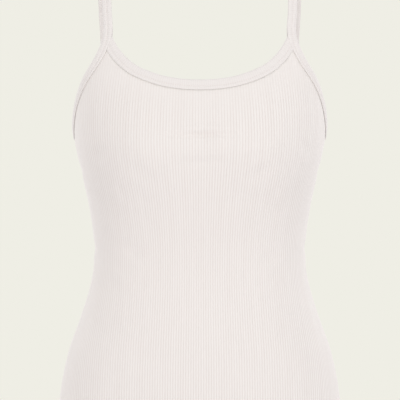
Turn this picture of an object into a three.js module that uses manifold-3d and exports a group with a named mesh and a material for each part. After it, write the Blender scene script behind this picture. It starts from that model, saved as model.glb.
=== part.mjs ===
// A tank top in rib knit, hollow and filled out as if worn, with the arms and neck of a general figure.
// Millimetres, +Z up. The front faces -Y, left means -X, and the origin lies midway between the strap tops.

import * as THREE from 'three';
import Module from 'manifold-3d';
import { mergeVertices } from 'three/addons/utils/BufferGeometryUtils.js';

// Cloth
const PLAIN_WALL = 1.0;
const RIB_HEIGHT = 0.5;
const SEAM_GAP = 0.3;
const HEM_DEPTH = 20;
const HEM_EXTRA = 1.0;
const HEM_SLOPE = 1.5;

// Ribs of half a panel, from its middle to its side seam
const BODY_RIBS = 60.5;
const RIB_CROWDING = 0.055;

// Folded bindings, measured from the rib crests and the folded edge of the panel that they hold
const LEAF = 1.0;
const LEAF_GAP = 0.4;
const PANEL_INSET = 2.3;
const SLOT_END = 1.3;
const FOLD_ROUND = 1.2;
const NECK_WIDTH = 13.1;
const STRAP_WIDTH = 11.2;

// The strap itself is closed: its two leaves part only in a notch along the edge
const STRAP_THICKNESS = 3.0;
const NOTCH_DEPTH = 0.3;
const NOTCH_TOP = -0.1;
const NOTCH_BOTTOM = -0.4;
const TIP_HEIGHT = -152;

// Reach of the blocks that trim the neck bindings at the straps, past the fold and to both sides of the cloth
const TRIM_PAST = 10;
const TRIM_OUT = 5;
const TRIM_IN = -7;

// Spacing of rings along the bindings
const NECK_STEP = 11;
const ARMHOLE_STEP = 7.5;
const STRAP_STEP = 15;

// Cloth colour
const OFF_WHITE = '#efe9e4';
const OFF_WHITE_EDGE = '#ede7e2';

// Level sections of the body through the rib crests.
// half is half its width, front and back are its depths, bust lifts the cups, square fills its corners,
// and ribs counts the ribs of half a panel.
const SECTIONS = [
  { height: -622, half: 168.0, front: 103, back: 113, bust: 0, square: 0.03, ribs: 72.5 },
  { height: -565, half: 164.3, front: 103, back: 111, bust: 0, square: 0.03, ribs: 70.9 },
  { height: -515, half: 154.6, front: 100, back: 99, bust: 0, square: 0.03, ribs: 68.3 },
  { height: -475, half: 140.6, front: 95, back: 84, bust: 0, square: 0.03, ribs: 65.1 },
  { height: -435, half: 128.4, front: 90, back: 70, bust: 0, square: 0.03, ribs: 62.1 },
  { height: -405, half: 124.6, front: 89, back: 66, bust: 0, square: 0.03, ribs: 60.9 },
  { height: -375, half: 125.4, front: 91, back: 69, bust: 0, square: 0.03, ribs: 60.5 },
  { height: -340, half: 130.8, front: 97, back: 77, bust: 3.5, square: 0.03, ribs: 60.5 },
  { height: -305, half: 138.8, front: 103, back: 86, bust: 10, square: 0.035, ribs: 60.5 },
  { height: -275, half: 145.5, front: 103, back: 91, bust: 13.5, square: 0.04, ribs: 60.5 },
  { height: -240, half: 150.0, front: 97, back: 94, bust: 9.5, square: 0.045, ribs: 60.5 },
  { height: -205, half: 148.5, front: 88, back: 92, bust: 4, square: 0.055, ribs: 60.5 },
  { height: -150, half: 142.0, front: 70, back: 84, bust: 0, square: 0.07, ribs: 60.5 },
  { height: -100, half: 132.0, front: 52, back: 70, bust: 0, square: 0.075, ribs: 60.5 },
];
const CUP_PLACE = 66;
const CUP_SPREAD = 60;

// Rows of points up a panel: level rows from the hem to the waist, then shares of the way to its top edge
const WAIST = -388;
const LEVEL_ROWS = [-620, -549, -495, -441, WAIST];
const RISING_ROWS = [0.2, 0.4, 0.6, 0.8, 1];
const TOP_ROW_DROP = 15;

// Columns of the plain inside, by rib
const INSIDE_RIBS = [0, 7, 14, 20, 25, 29, 32, 34, 36, 38, 40, 42, 45, 48, 51, 54, 57, 60.5];

// Folded edge of the neckline on the front: distance across from the middle, and height
const FRONT_NECK = [
  { across: 0, height: -198.5 },
  { across: 20, height: -197.6 },
  { across: 40, height: -194.4 },
  { across: 60, height: -187.7 },
  { across: 75, height: -179.9 },
  { across: 88, height: -168.4 },
  { across: 96, height: -157.6 },
  { across: 103, height: -144.2 },
  { across: 105.5, height: -138.0 },
];

// The same on the back, which lies a little lower
const BACK_NECK = [
  { across: 0, height: -206.0 },
  { across: 20, height: -205.0 },
  { across: 40, height: -201.5 },
  { across: 60, height: -194.5 },
  { across: 78, height: -183.5 },
  { across: 92.5, height: -170.0 },
  { across: 102, height: -158.0 },
  { across: 108, height: -147.0 },
  { across: 111, height: -140.0 },
];

// Folded edge of the armhole: distance from the side seam, minus on the front, and height
const ARMHOLE = [
  { across: -66.9, height: -138.0 },
  { across: -70.4, height: -152.0 },
  { across: -65.6, height: -174.7 },
  { across: -52.5, height: -195.9 },
  { across: -37.3, height: -220.0 },
  { across: -22.0, height: -241.1 },
  { across: 0, height: -254.0 },
  { across: 21.0, height: -244.0 },
  { across: 36.0, height: -227.0 },
  { across: 52.1, height: -203.0 },
  { across: 66.0, height: -176.0 },
  { across: 71.5, height: -152.0 },
  { across: 67.1, height: -138.0 },
];

// Middle of the right strap, from the back over the shoulder to the front, with its sideways tilt in degrees
const STRAP = [
  { x: 117.4, y: 63.5, z: -110, tilt: 31 },
  { x: 118.0, y: 55, z: -75, tilt: 27 },
  { x: 117.2, y: 45, z: -43, tilt: 23 },
  { x: 115.8, y: 33, z: -18, tilt: 20 },
  { x: 114.4, y: 16, z: -2, tilt: 18 },
  { x: 113.0, y: -3, z: 1.5, tilt: 17 },
  { x: 111.8, y: -20, z: -6, tilt: 17 },
  { x: 110.3, y: -33, z: -30, tilt: 18 },
  { x: 108.9, y: -42.5, z: -65, tilt: 19 },
  { x: 107.8, y: -50, z: -100, tilt: 20 },
  { x: 107.2, y: -54.5, z: -120, tilt: 20 },
];

// Smooth curve through the rows of a table: value of one column where another column reads x
function smooth(knots, values, x) {
  const last = knots.length - 1;
  const place = Math.min(Math.max(x, knots[0]), knots[last]);
  let i = 0;
  while (i < last - 1 && place > knots[i + 1]) i += 1;
  const slope = (j) => {
    const before = Math.max(j - 1, 0);
    const after = Math.min(j + 1, last);
    return (values[after] - values[before]) / (knots[after] - knots[before]);
  };
  const span = knots[i + 1] - knots[i];
  const t = (place - knots[i]) / span;
  const rise = 3 * t * t - 2 * t * t * t;
  const leave = (t * t * t - 2 * t * t + t) * span * slope(i);
  const arrive = (t * t * t - t * t) * span * slope(i + 1);
  return values[i] + (values[i + 1] - values[i]) * rise + leave + arrive;
}

function columnOf(rows, name) {
  return rows.map((row) => row[name]);
}

function sectionValue(name, height) {
  return smooth(columnOf(SECTIONS, 'height'), columnOf(SECTIONS, name), height);
}

// Half of a level section, from the middle of the front round to the middle of the back
const HALF_TURN_STEPS = 180;
const sections = new Map();

function sectionAt(height) {
  const key = Math.round(height * 1000);
  if (sections.has(key)) return sections.get(key);
  const half = sectionValue('half', height);
  const front = sectionValue('front', height);
  const back = sectionValue('back', height);
  const bust = sectionValue('bust', height);
  const square = sectionValue('square', height);
  const x = [];
  const y = [];
  const run = [];
  for (let i = 0; i <= HALF_TURN_STEPS; i += 1) {
    const turn = (Math.PI * i) / HALF_TURN_STEPS;
    const sideways = (Math.sin(turn) + square * Math.sin(3 * turn)) / (1 - square);
    const forward = (Math.cos(turn) - square * Math.cos(3 * turn)) / (1 - square);
    x.push(half * sideways);
    const cup = Math.exp(-(((x[i] - CUP_PLACE) / CUP_SPREAD) ** 2));
    const otherCup = Math.exp(-(((x[i] + CUP_PLACE) / CUP_SPREAD) ** 2));
    y.push(forward > 0 ? -(front + bust * (cup + otherCup)) * forward : -back * forward);
    run.push(i === 0 ? 0 : run[i - 1] + Math.hypot(x[i] - x[i - 1], y[i] - y[i - 1]));
  }
  const section = { x, y, run, side: run[HALF_TURN_STEPS / 2], whole: run[HALF_TURN_STEPS] };
  sections.set(key, section);
  return section;
}

// Point of the body at a distance round from the middle of the front, and a height
function bodyPoint(round, height) {
  const section = sectionAt(height);
  const distance = Math.min(Math.abs(round), section.whole);
  let low = 0;
  let high = HALF_TURN_STEPS;
  while (high - low > 1) {
    const middle = (low + high) >> 1;
    if (section.run[middle] > distance) high = middle;
    else low = middle;
  }
  const share = (distance - section.run[low]) / (section.run[high] - section.run[low]);
  const x = section.x[low] + (section.x[high] - section.x[low]) * share;
  const y = section.y[low] + (section.y[high] - section.y[low]) * share;
  return new THREE.Vector3(Math.sign(round) * x, y, height);
}

// Three ways to measure across the body: from the middle of the front, from the middle of the back
// with plus towards the left, and from the right side seam with plus towards the back
const FROM_FRONT = {
  point: (across, height) => bodyPoint(across, height),
  reach: (height) => sectionAt(height).side,
};
const FROM_BACK = {
  point: (across, height) => {
    const round = sectionAt(height).whole - Math.abs(across);
    return bodyPoint(across > 0 ? -round : round, height);
  },
  reach: (height) => sectionAt(height).whole - sectionAt(height).side,
};
const FROM_SIDE = {
  point: (across, height) => bodyPoint(sectionAt(height).side + across, height),
};

// Directions of the body at a place: along each measure, and out of the body
const NEAR = 0.5;

function lie(cloth, across, height) {
  const behind = cloth.point(across - NEAR, height);
  const below = cloth.point(across, height - NEAR);
  const byAcross = cloth.point(across + NEAR, height).sub(behind).divideScalar(2 * NEAR);
  const byHeight = cloth.point(across, height + NEAR).sub(below).divideScalar(2 * NEAR);
  const out = byAcross.clone().cross(byHeight).normalize();
  return { byAcross, byHeight, out };
}

function clothPoint(cloth, across, height, lift) {
  const { out } = lie(cloth, across, height);
  return cloth.point(across, height).addScaledVector(out, lift);
}

// Smooth path through a table of places on the cloth, by distance along it
function pathThrough(rows) {
  const run = [0];
  for (let i = 1; i < rows.length; i += 1) {
    const step = Math.hypot(rows[i].across - rows[i - 1].across, rows[i].height - rows[i - 1].height);
    run.push(run[i - 1] + step);
  }
  const at = (s) => ({
    across: smooth(run, columnOf(rows, 'across'), s),
    height: smooth(run, columnOf(rows, 'height'), s),
  });
  return { at, length: run[run.length - 1] };
}

// Both halves of a neckline, from left to right
function bothHalves(rows) {
  const otherHalf = rows.slice(1).reverse().map((row) => ({ across: -row.across, height: row.height }));
  return [...otherHalf, ...rows];
}

// Place beside a path, at a distance out past it
function stationOn(cloth, path, s) {
  const inside = Math.min(Math.max(s, NEAR), path.length - NEAR);
  const ahead = path.at(inside + NEAR);
  const behind = path.at(inside - NEAR);
  const here = path.at(s);
  const along = cloth.point(ahead.across, ahead.height).sub(cloth.point(behind.across, behind.height));
  const { byAcross, byHeight, out } = lie(cloth, here.across, here.height);
  const past = out.clone().cross(along.normalize());
  const aa = byAcross.dot(byAcross);
  const ab = byAcross.dot(byHeight);
  const bb = byHeight.dot(byHeight);
  const whole = aa * bb - ab * ab;
  const acrossStep = (past.dot(byAcross) * bb - past.dot(byHeight) * ab) / whole;
  const heightStep = (past.dot(byHeight) * aa - past.dot(byAcross) * ab) / whole;
  return (distance) => ({
    across: here.across + acrossStep * distance,
    height: here.height + heightStep * distance,
  });
}

// Distance across of a rib, and the rib at a distance across. Ribs lie closest in the middle.
const RIB_ROUNDS = 4;

function ribDistance(rib, ribs, reach) {
  const share = rib / ribs;
  return reach * (share * (1 - RIB_CROWDING) + RIB_CROWDING * share ** 3);
}

function ribAt(cloth, across, height) {
  const ribs = sectionValue('ribs', height);
  const reach = cloth.reach(height);
  let rib = (across / reach) * ribs;
  for (let round = 0; round < RIB_ROUNDS; round += 1) {
    rib += ((across - ribDistance(rib, ribs, reach)) / reach) * ribs;
  }
  return rib;
}

// Cut edge of a panel under a fold, as the height of each rib that it crosses. Where the edge
// doesn't reach a rib, it sets no height.
const EDGE_SAMPLES = 240;

function edgeHeights(cloth, fold, foldCloth, toAcross) {
  const samples = [];
  for (let i = 0; i <= EDGE_SAMPLES; i += 1) {
    const place = stationOn(foldCloth, fold, (fold.length * i) / EDGE_SAMPLES)(-PANEL_INSET);
    const across = toAcross(place);
    samples.push({ rib: ribAt(cloth, across, place.height), height: place.height });
  }
  return (rib) => {
    let lowest = Infinity;
    for (let i = 1; i < samples.length; i += 1) {
      const from = samples[i - 1];
      const to = samples[i];
      const share = (rib - from.rib) / (to.rib - from.rib);
      const height = from.height + (to.height - from.height) * share;
      if (share >= 0 && share <= 1) lowest = Math.min(lowest, height);
    }
    return lowest;
  };
}

// Top edge of a panel: the lowest of the neckline, the armhole and the end of the tip in the strap
function topEdge(neckAt, armAt) {
  return (rib) => Math.min(neckAt(rib), armAt(rib), TIP_HEIGHT);
}

// A closed solid from points and faces, turned so that its faces point out
function closedSolid(points, faces) {
  let volume = 0;
  for (const [a, b, c] of faces) volume += points[a].dot(points[b].clone().cross(points[c]));
  const turned = volume < 0 ? faces.map(([a, b, c]) => [a, c, b]) : faces;
  const geometry = new THREE.BufferGeometry();
  const position = points.flatMap((point) => [point.x, point.y, point.z]);
  geometry.setAttribute('position', new THREE.Float32BufferAttribute(position, 3));
  geometry.setIndex(turned.flat());
  geometry.computeVertexNormals();
  return geometry;
}

// Faces between two lines of points that run the same way, each point with its place along them.
// Where both have a point at the same place, the two halves of a panel mirror each other.
function zip(one, two) {
  const faces = [];
  let i = 0;
  let j = 0;
  const oneIsNext = () => {
    if (j === two.length - 1 || i === one.length - 1) return j === two.length - 1;
    const lead = two[j + 1].place - one[i + 1].place;
    return lead > 0 || (lead === 0 && one[i + 1].place <= 0);
  };
  while (i < one.length - 1 || j < two.length - 1) {
    const moveOne = oneIsNext();
    const next = moveOne ? one[i + 1].index : two[j + 1].index;
    faces.push([one[i].index, two[j].index, next]);
    if (moveOne) i += 1;
    else j += 1;
  }
  return faces;
}

// A panel: ribs outside, plain inside, with its hem turned up
function panelGeometry(cloth, topAt) {
  const points = [];
  const faces = [];
  const halfGap = SEAM_GAP / 2;

  const heightAt = (row, rib) => {
    if (row < LEVEL_ROWS.length) return LEVEL_ROWS[row];
    const top = topAt(Math.min(Math.abs(rib), BODY_RIBS));
    const below = top - TOP_ROW_DROP;
    const share = RISING_ROWS[row - LEVEL_ROWS.length];
    return share === undefined ? top : WAIST + (below - WAIST) * share;
  };
  const lastRow = LEVEL_ROWS.length + RISING_ROWS.length;

  const ribsAt = (row) => {
    if (row >= LEVEL_ROWS.length) return BODY_RIBS;
    return Math.round(sectionValue('ribs', LEVEL_ROWS[row]) - 0.5) + 0.5;
  };
  const place = (row, rib, lift) => {
    const height = heightAt(row, rib);
    const across = ribDistance(rib, ribsAt(row), cloth.reach(height) - halfGap);
    return clothPoint(cloth, across, height, lift);
  };

  // Outside, with a crest at each whole rib and a valley at each half
  const outside = [];
  for (let row = 0; row <= lastRow; row += 1) {
    const halves = Math.round(2 * ribsAt(row));
    const line = [];
    for (let half = -halves; half <= halves; half += 1) {
      const lift = half % 2 === 0 ? 0 : -RIB_HEIGHT;
      line.push({ index: points.length, place: half / 2 });
      points.push(place(row, half / 2, lift));
    }
    outside.push(line);
  }
  for (let row = 0; row < lastRow; row += 1) faces.push(...zip(outside[row], outside[row + 1]));

  // Inside, with two more rows where the hem is turned up
  const insideLift = -(RIB_HEIGHT + PLAIN_WALL);
  const hemLift = insideLift - HEM_EXTRA;
  const ribColumns = [...INSIDE_RIBS.slice(1).reverse().map((rib) => -rib), ...INSIDE_RIBS];
  const firstSpan = LEVEL_ROWS[1] - LEVEL_ROWS[0];
  const insideRows = [
    { row: 0, share: 0, lift: hemLift },
    { row: 0, share: HEM_DEPTH / firstSpan, lift: hemLift },
    { row: 0, share: (HEM_DEPTH + HEM_SLOPE) / firstSpan, lift: insideLift },
  ];
  for (let row = 1; row <= lastRow; row += 1) insideRows.push({ row, share: 0, lift: insideLift });
  const inside = insideRows.map(({ row, share, lift }) => ribColumns.map((rib) => {
    const index = points.length;
    const ribHere = (rib * ribsAt(row)) / BODY_RIBS;
    const point = place(row, ribHere, lift);
    if (share > 0) {
      const ribAbove = (rib * ribsAt(row + 1)) / BODY_RIBS;
      point.lerp(place(row + 1, ribAbove, lift), share);
    }
    points.push(point);
    return { index, place: rib, row: row + share };
  }));
  for (let row = 0; row < inside.length - 1; row += 1) {
    for (const [a, b, c] of zip(inside[row], inside[row + 1])) faces.push([a, c, b]);
  }

  // Rims along the hem, the top edge and both side seams
  const hemIn = inside[0].map(({ index, place: rib }) => ({ index, place: (rib * ribsAt(0)) / BODY_RIBS }));
  faces.push(...zip(hemIn, outside[0]));
  faces.push(...zip(outside[lastRow], inside[inside.length - 1]));
  const sideLine = (lines, end, rowOf) => lines.map((line, i) => ({
    index: line[end(line)].index,
    place: rowOf(line, i),
  }));
  const first = () => 0;
  const last = (line) => line.length - 1;
  const outsideRow = (line, i) => i;
  const insideRow = (line) => line[0].row;
  faces.push(...zip(sideLine(outside, first, outsideRow), sideLine(inside, first, insideRow)));
  faces.push(...zip(sideLine(inside, last, insideRow), sideLine(outside, last, outsideRow)));
  return closedSolid(points, faces);
}

// Section of a folded binding: distance past the folded edge, and lift from the rib crests.
// An open one has a slot for the panel, and a closed one has a notch.
function bindingSection(width, open) {
  const top = LEAF_GAP + LEAF;
  const panelInside = -(RIB_HEIGHT + PLAIN_WALL);
  const bottom = open ? panelInside - LEAF_GAP - LEAF : top - STRAP_THICKNESS;
  const slotTop = open ? LEAF_GAP : NOTCH_TOP;
  const slotBottom = open ? panelInside - LEAF_GAP : NOTCH_BOTTOM;
  const slotEnd = open ? -SLOT_END : NOTCH_DEPTH - width;
  const slotMiddle = open ? -width / 2 : NOTCH_DEPTH / 2 - width;
  return [
    { past: -width, lift: top },
    { past: -width / 2, lift: top },
    { past: -FOLD_ROUND, lift: top },
    { past: 0, lift: top - FOLD_ROUND },
    { past: 0, lift: bottom + FOLD_ROUND },
    { past: -FOLD_ROUND, lift: bottom },
    { past: -width / 2, lift: bottom },
    { past: -width, lift: bottom },
    { past: -width, lift: slotBottom },
    { past: slotMiddle, lift: slotBottom },
    { past: slotEnd, lift: slotBottom },
    { past: slotEnd, lift: slotTop },
    { past: slotMiddle, lift: slotTop },
    { past: -width, lift: slotTop },
  ];
}

// Block round a strap binding, with the seam's gap, that trims the neck binding under it
function trimSection(width) {
  return [
    { past: -width - SEAM_GAP, lift: TRIM_OUT },
    { past: TRIM_PAST, lift: TRIM_OUT },
    { past: TRIM_PAST, lift: TRIM_IN },
    { past: -width - SEAM_GAP, lift: TRIM_IN },
  ];
}

function ringOnCloth(cloth, path, s, section) {
  const beside = stationOn(cloth, path, s);
  return section.map(({ past, lift }) => {
    const { across, height } = beside(past);
    return clothPoint(cloth, across, height, lift);
  });
}

// Sides between rings of points, with flat ends unless the rings close on themselves
function ringSolid(rings, section, closed) {
  const count = section.length;
  const points = rings.flat();
  const faces = [];
  const bands = closed ? rings.length : rings.length - 1;
  for (let band = 0; band < bands; band += 1) {
    const here = band * count;
    const there = ((band + 1) % rings.length) * count;
    for (let i = 0; i < count; i += 1) {
      const next = (i + 1) % count;
      faces.push([here + i, there + i, there + next], [here + i, there + next, here + next]);
    }
  }
  if (!closed) {
    const outline = section.map(({ past, lift }) => new THREE.Vector2(past, lift));
    const start = (rings.length - 1) * count;
    const clockwise = THREE.ShapeUtils.isClockWise(outline);
    for (const [a, b, c] of THREE.ShapeUtils.triangulateShape(outline, [])) {
      const alike = THREE.ShapeUtils.isClockWise([outline[a], outline[b], outline[c]]) === clockwise;
      const [second, third] = alike ? [b, c] : [c, b];
      faces.push([a, second, third], [start + a, start + third, start + second]);
    }
  }
  return closedSolid(points, faces);
}

function stepsAlong(length, step) {
  const count = Math.round(length / step);
  return Array.from({ length: count + 1 }, (unused, i) => (length * i) / count);
}

function neckGeometry(cloth, rows) {
  const path = pathThrough(bothHalves(rows));
  const section = bindingSection(NECK_WIDTH, true);
  const rings = stepsAlong(path.length, NECK_STEP).map((s) => ringOnCloth(cloth, path, s, section));
  return ringSolid(rings, section, false);
}

// Ring across the strap where it is clear of the body
function ringOnStrap(s, run, section) {
  const read = (name, place) => smooth(run, columnOf(STRAP, name), place);
  const middleAt = (place) => new THREE.Vector3(read('x', place), read('y', place), read('z', place));
  const inside = Math.min(Math.max(s, NEAR), run[run.length - 1] - NEAR);
  const along = middleAt(inside + NEAR).sub(middleAt(inside - NEAR)).normalize();
  const tilt = THREE.MathUtils.degToRad(read('tilt', s));
  const level = new THREE.Vector3(0, along.z, -along.y).normalize();
  const out = level.multiplyScalar(Math.cos(tilt)).add(new THREE.Vector3(Math.sin(tilt), 0, 0));
  const past = out.clone().cross(along).normalize();
  const lift = along.clone().cross(past);
  return section.map((corner) => middleAt(s)
    .addScaledVector(past, corner.past + STRAP_WIDTH / 2)
    .addScaledVector(lift, corner.lift));
}

function strapRun() {
  const run = [0];
  for (let i = 1; i < STRAP.length; i += 1) {
    const { x, y, z } = STRAP[i];
    const before = STRAP[i - 1];
    run.push(run[i - 1] + Math.hypot(x - before.x, y - before.y, z - before.z));
  }
  return run;
}

// Armhole binding and strap of the right side, one closed loop
function strapGeometry() {
  const path = pathThrough(ARMHOLE);
  const open = bindingSection(STRAP_WIDTH, true);
  const closed = bindingSection(STRAP_WIDTH, false);
  const places = stepsAlong(path.length, ARMHOLE_STEP);
  const armRings = places.map((s, i) => {
    const atEnd = i === 0 || i === places.length - 1;
    return ringOnCloth(FROM_SIDE, path, s, atEnd ? closed : open);
  });
  const run = strapRun();
  const strapRings = stepsAlong(run[run.length - 1], STRAP_STEP).map((s) => ringOnStrap(s, run, closed));
  return ringSolid([...armRings, ...strapRings], open, true);
}

// Block round the right strap binding, at the front or the back, with its rings where the binding has them
const TRIM_CLOTH_RINGS = 9;
const TRIM_STRAP_RINGS = 2;

function trimGeometry(atFront) {
  const path = pathThrough(ARMHOLE);
  const section = trimSection(STRAP_WIDTH);
  const run = strapRun();
  const clothPlaces = stepsAlong(path.length, ARMHOLE_STEP);
  const strapPlaces = stepsAlong(run[run.length - 1], STRAP_STEP);
  const onCloth = atFront
    ? clothPlaces.slice(0, TRIM_CLOTH_RINGS)
    : clothPlaces.slice(-TRIM_CLOTH_RINGS).reverse();
  const onStrap = atFront
    ? strapPlaces.slice(-TRIM_STRAP_RINGS)
    : strapPlaces.slice(0, TRIM_STRAP_RINGS).reverse();
  const clothRings = onCloth.map((s) => ringOnCloth(FROM_SIDE, path, s, section));
  const strapRings = onStrap.map((s) => ringOnStrap(s, run, section));
  return ringSolid([...strapRings, ...clothRings], section, false);
}

function mirrored(geometry) {
  const copy = geometry.clone();
  copy.deleteAttribute('normal');
  const position = copy.getAttribute('position');
  for (let i = 0; i < position.count; i += 1) position.setX(i, -position.getX(i));
  const index = copy.getIndex();
  for (let i = 0; i < index.count; i += 3) {
    const second = index.getX(i + 1);
    index.setX(i + 1, index.getX(i + 2));
    index.setX(i + 2, second);
  }
  copy.computeVertexNormals();
  return copy;
}

const wasm = await Module();
wasm.setup();
const MERGE_TOLERANCE = 1e-4;

function toSolid(geometry) {
  const bare = geometry.clone();
  bare.deleteAttribute('normal');
  const merged = mergeVertices(bare, MERGE_TOLERANCE);
  const mesh = new wasm.Mesh({
    numProp: 3,
    vertProperties: new Float32Array(merged.getAttribute('position').array),
    triVerts: new Uint32Array(merged.getIndex().array),
  });
  return new wasm.Manifold(mesh);
}

function fromSolid(solid) {
  const mesh = solid.getMesh();
  const geometry = new THREE.BufferGeometry();
  geometry.setAttribute('position', new THREE.Float32BufferAttribute(mesh.vertProperties, 3));
  geometry.setIndex(new THREE.BufferAttribute(mesh.triVerts, 1));
  geometry.computeVertexNormals();
  return geometry;
}

// A neck binding ends where the straps pass over it
function trimmed(geometry, atFront) {
  const block = trimGeometry(atFront);
  const right = toSolid(block);
  const left = toSolid(mirrored(block));
  return fromSolid(toSolid(geometry).subtract(right).subtract(left));
}

function panel(cloth, neckRows, armSign) {
  const neck = pathThrough(bothHalves(neckRows));
  const arm = pathThrough(ARMHOLE);
  const neckAt = edgeHeights(cloth, neck, cloth, (place) => place.across);
  const fromMiddle = (place) => cloth.reach(place.height) + armSign * place.across;
  const armAt = edgeHeights(cloth, arm, FROM_SIDE, fromMiddle);
  return panelGeometry(cloth, topEdge(neckAt, armAt));
}

function piece(name, geometry, color) {
  const material = new THREE.MeshStandardMaterial({ color, roughness: 0.88, metalness: 0 });
  const mesh = new THREE.Mesh(geometry, material);
  mesh.name = name;
  return mesh;
}

const tankTop = new THREE.Group();
tankTop.name = 'tank_top';
tankTop.add(piece('front_panel', panel(FROM_FRONT, FRONT_NECK, 1), OFF_WHITE));
tankTop.add(piece('back_panel', panel(FROM_BACK, BACK_NECK, -1), OFF_WHITE));
const frontNeck = trimmed(neckGeometry(FROM_FRONT, FRONT_NECK), true);
tankTop.add(piece('neck_binding_front', frontNeck, OFF_WHITE_EDGE));
const backNeck = trimmed(neckGeometry(FROM_BACK, BACK_NECK), false);
tankTop.add(piece('neck_binding_back', backNeck, OFF_WHITE_EDGE));
const rightStrap = strapGeometry();
tankTop.add(piece('strap_binding_left', mirrored(rightStrap), OFF_WHITE_EDGE));
tankTop.add(piece('strap_binding_right', rightStrap, OFF_WHITE_EDGE));

export default tankTop;
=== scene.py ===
"""A ribbed tank top in worn form: rib-knit panels, folded bindings that run on as straps, and stitches."""

import math

import bpy
import numpy as np
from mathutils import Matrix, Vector
from mathutils.geometry import tessellate_polygon
from mathutils.kdtree import KDTree


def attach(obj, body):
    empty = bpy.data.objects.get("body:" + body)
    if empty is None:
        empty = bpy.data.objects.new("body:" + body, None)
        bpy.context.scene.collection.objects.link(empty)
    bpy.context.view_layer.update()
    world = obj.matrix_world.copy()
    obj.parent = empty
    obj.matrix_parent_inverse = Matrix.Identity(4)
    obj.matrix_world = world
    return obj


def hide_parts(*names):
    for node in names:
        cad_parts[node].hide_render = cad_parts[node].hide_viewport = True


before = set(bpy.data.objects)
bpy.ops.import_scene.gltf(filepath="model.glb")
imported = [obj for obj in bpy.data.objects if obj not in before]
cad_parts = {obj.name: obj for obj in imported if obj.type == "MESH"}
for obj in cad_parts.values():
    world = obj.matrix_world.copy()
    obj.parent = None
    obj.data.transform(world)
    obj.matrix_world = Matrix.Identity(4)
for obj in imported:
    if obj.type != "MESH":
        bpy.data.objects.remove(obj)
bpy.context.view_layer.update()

bl_info = {
    "name": "Ribbed Tank Top",
    "version": (1, 0, 0),
    "blender": (4, 5, 0),
    "location": "3D View > Sidebar > Tank Top",
    "description": "Makes the knitted panels, bindings, stitches and studio of a ribbed tank top",
    "category": "Object",
}

# Lengths in the tables below are millimetres, and every mesh is in metres
MM = 0.001

# Cloth of the panels, with lifts measured out of the form from the rib crests
INSIDE_LIFT = -1.5
HEM_LIFT = -2.5
HEM_DEPTH = 20.0
HEM_SLOPE = 1.5
HEM = -620.0
WAIST = -388.0
BODY_RIBS = 60.5
RIB_CROWDING = 0.055
COLUMNS_PER_RIB = 4
SEAM_GAP = 0.02
SEAM_DIP = 0.8
SEAM_WIDTH = 1.3

# Folded bindings, measured from the folded edge of the panel that they hold
NECK_WIDTH = 13.1
STRAP_WIDTH = 11.2
PANEL_INSET = 2.3
TIP_HEIGHT = -152.0
SLOT_TOP = 0.15
SLOT_BOTTOM = -1.65
SLOT_END = -1.3
CLOSED_TOP = -0.16
CLOSED_BOTTOM = -0.3
LEAF_TOP = 1.4
LEAF_BOTTOM = -2.9
STRAP_BOTTOM = -1.6
JOINT_RAISE = 0.45

# Cut of the panels: how far the knit is stretched when worn, and what is turned in along the side seams
STRETCH = 1.12
SEAM_ALLOWANCE = 7.0

# Level sections of the worn form through the rib crests: height, half width, depths to the front and
# the back, lift of the cups, filling of the corners, and ribs of half a panel in column 6
SECTIONS = (
    (-622, 168.0, 103, 113, 0, 0.03, 72.5),
    (-565, 164.3, 103, 111, 0, 0.03, 70.9),
    (-515, 154.6, 100, 99, 0, 0.03, 68.3),
    (-475, 140.6, 95, 84, 0, 0.03, 65.1),
    (-435, 128.4, 90, 70, 0, 0.03, 62.1),
    (-405, 124.6, 89, 66, 0, 0.03, 60.9),
    (-375, 125.4, 91, 69, 0, 0.03, 60.5),
    (-340, 130.8, 97, 77, 3.5, 0.03, 60.5),
    (-305, 138.8, 103, 86, 10, 0.035, 60.5),
    (-275, 145.5, 103, 91, 13.5, 0.04, 60.5),
    (-240, 150.0, 97, 94, 9.5, 0.045, 60.5),
    (-205, 148.5, 88, 92, 4, 0.055, 60.5),
    (-150, 142.0, 70, 84, 0, 0.07, 60.5),
    (-100, 132.0, 52, 70, 0, 0.075, 60.5),
)
RIBS = 6
CUP_PLACE = 66.0
CUP_SPREAD = 60.0

# Folded edge of the neckline: distance across from the middle, and height
FRONT_NECK = (
    (0, -198.5), (20, -197.6), (40, -194.4), (60, -187.7), (75, -179.9),
    (88, -168.4), (96, -157.6), (103, -144.2), (105.5, -138.0),
)
BACK_NECK = (
    (0, -206.0), (20, -205.0), (40, -201.5), (60, -194.5), (78, -183.5),
    (92.5, -170.0), (102, -158.0), (108, -147.0), (111, -140.0),
)

# Folded edge of the armhole: distance from the side seam, minus on the front, and height
ARMHOLE = (
    (-66.9, -138.0), (-70.4, -152.0), (-65.6, -174.7), (-52.5, -195.9), (-37.3, -220.0),
    (-22.0, -241.1), (0, -254.0), (21.0, -244.0), (36.0, -227.0), (52.1, -203.0),
    (66.0, -176.0), (71.5, -152.0), (67.1, -138.0),
)

# Middle of the right strap, from the back over the shoulder to the front: place and sideways tilt
STRAP = (
    (117.4, 63.5, -110, 31),
    (118.0, 55, -75, 27),
    (117.2, 45, -43, 23),
    (115.8, 33, -18, 20),
    (114.4, 16, -2, 18),
    (113.0, -3, 1.5, 17),
    (111.8, -20, -6, 17),
    (110.3, -33, -30, 18),
    (108.9, -42.5, -65, 19),
    (107.8, -50, -100, 20),
    (107.2, -54.5, -120, 20),
)
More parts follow.
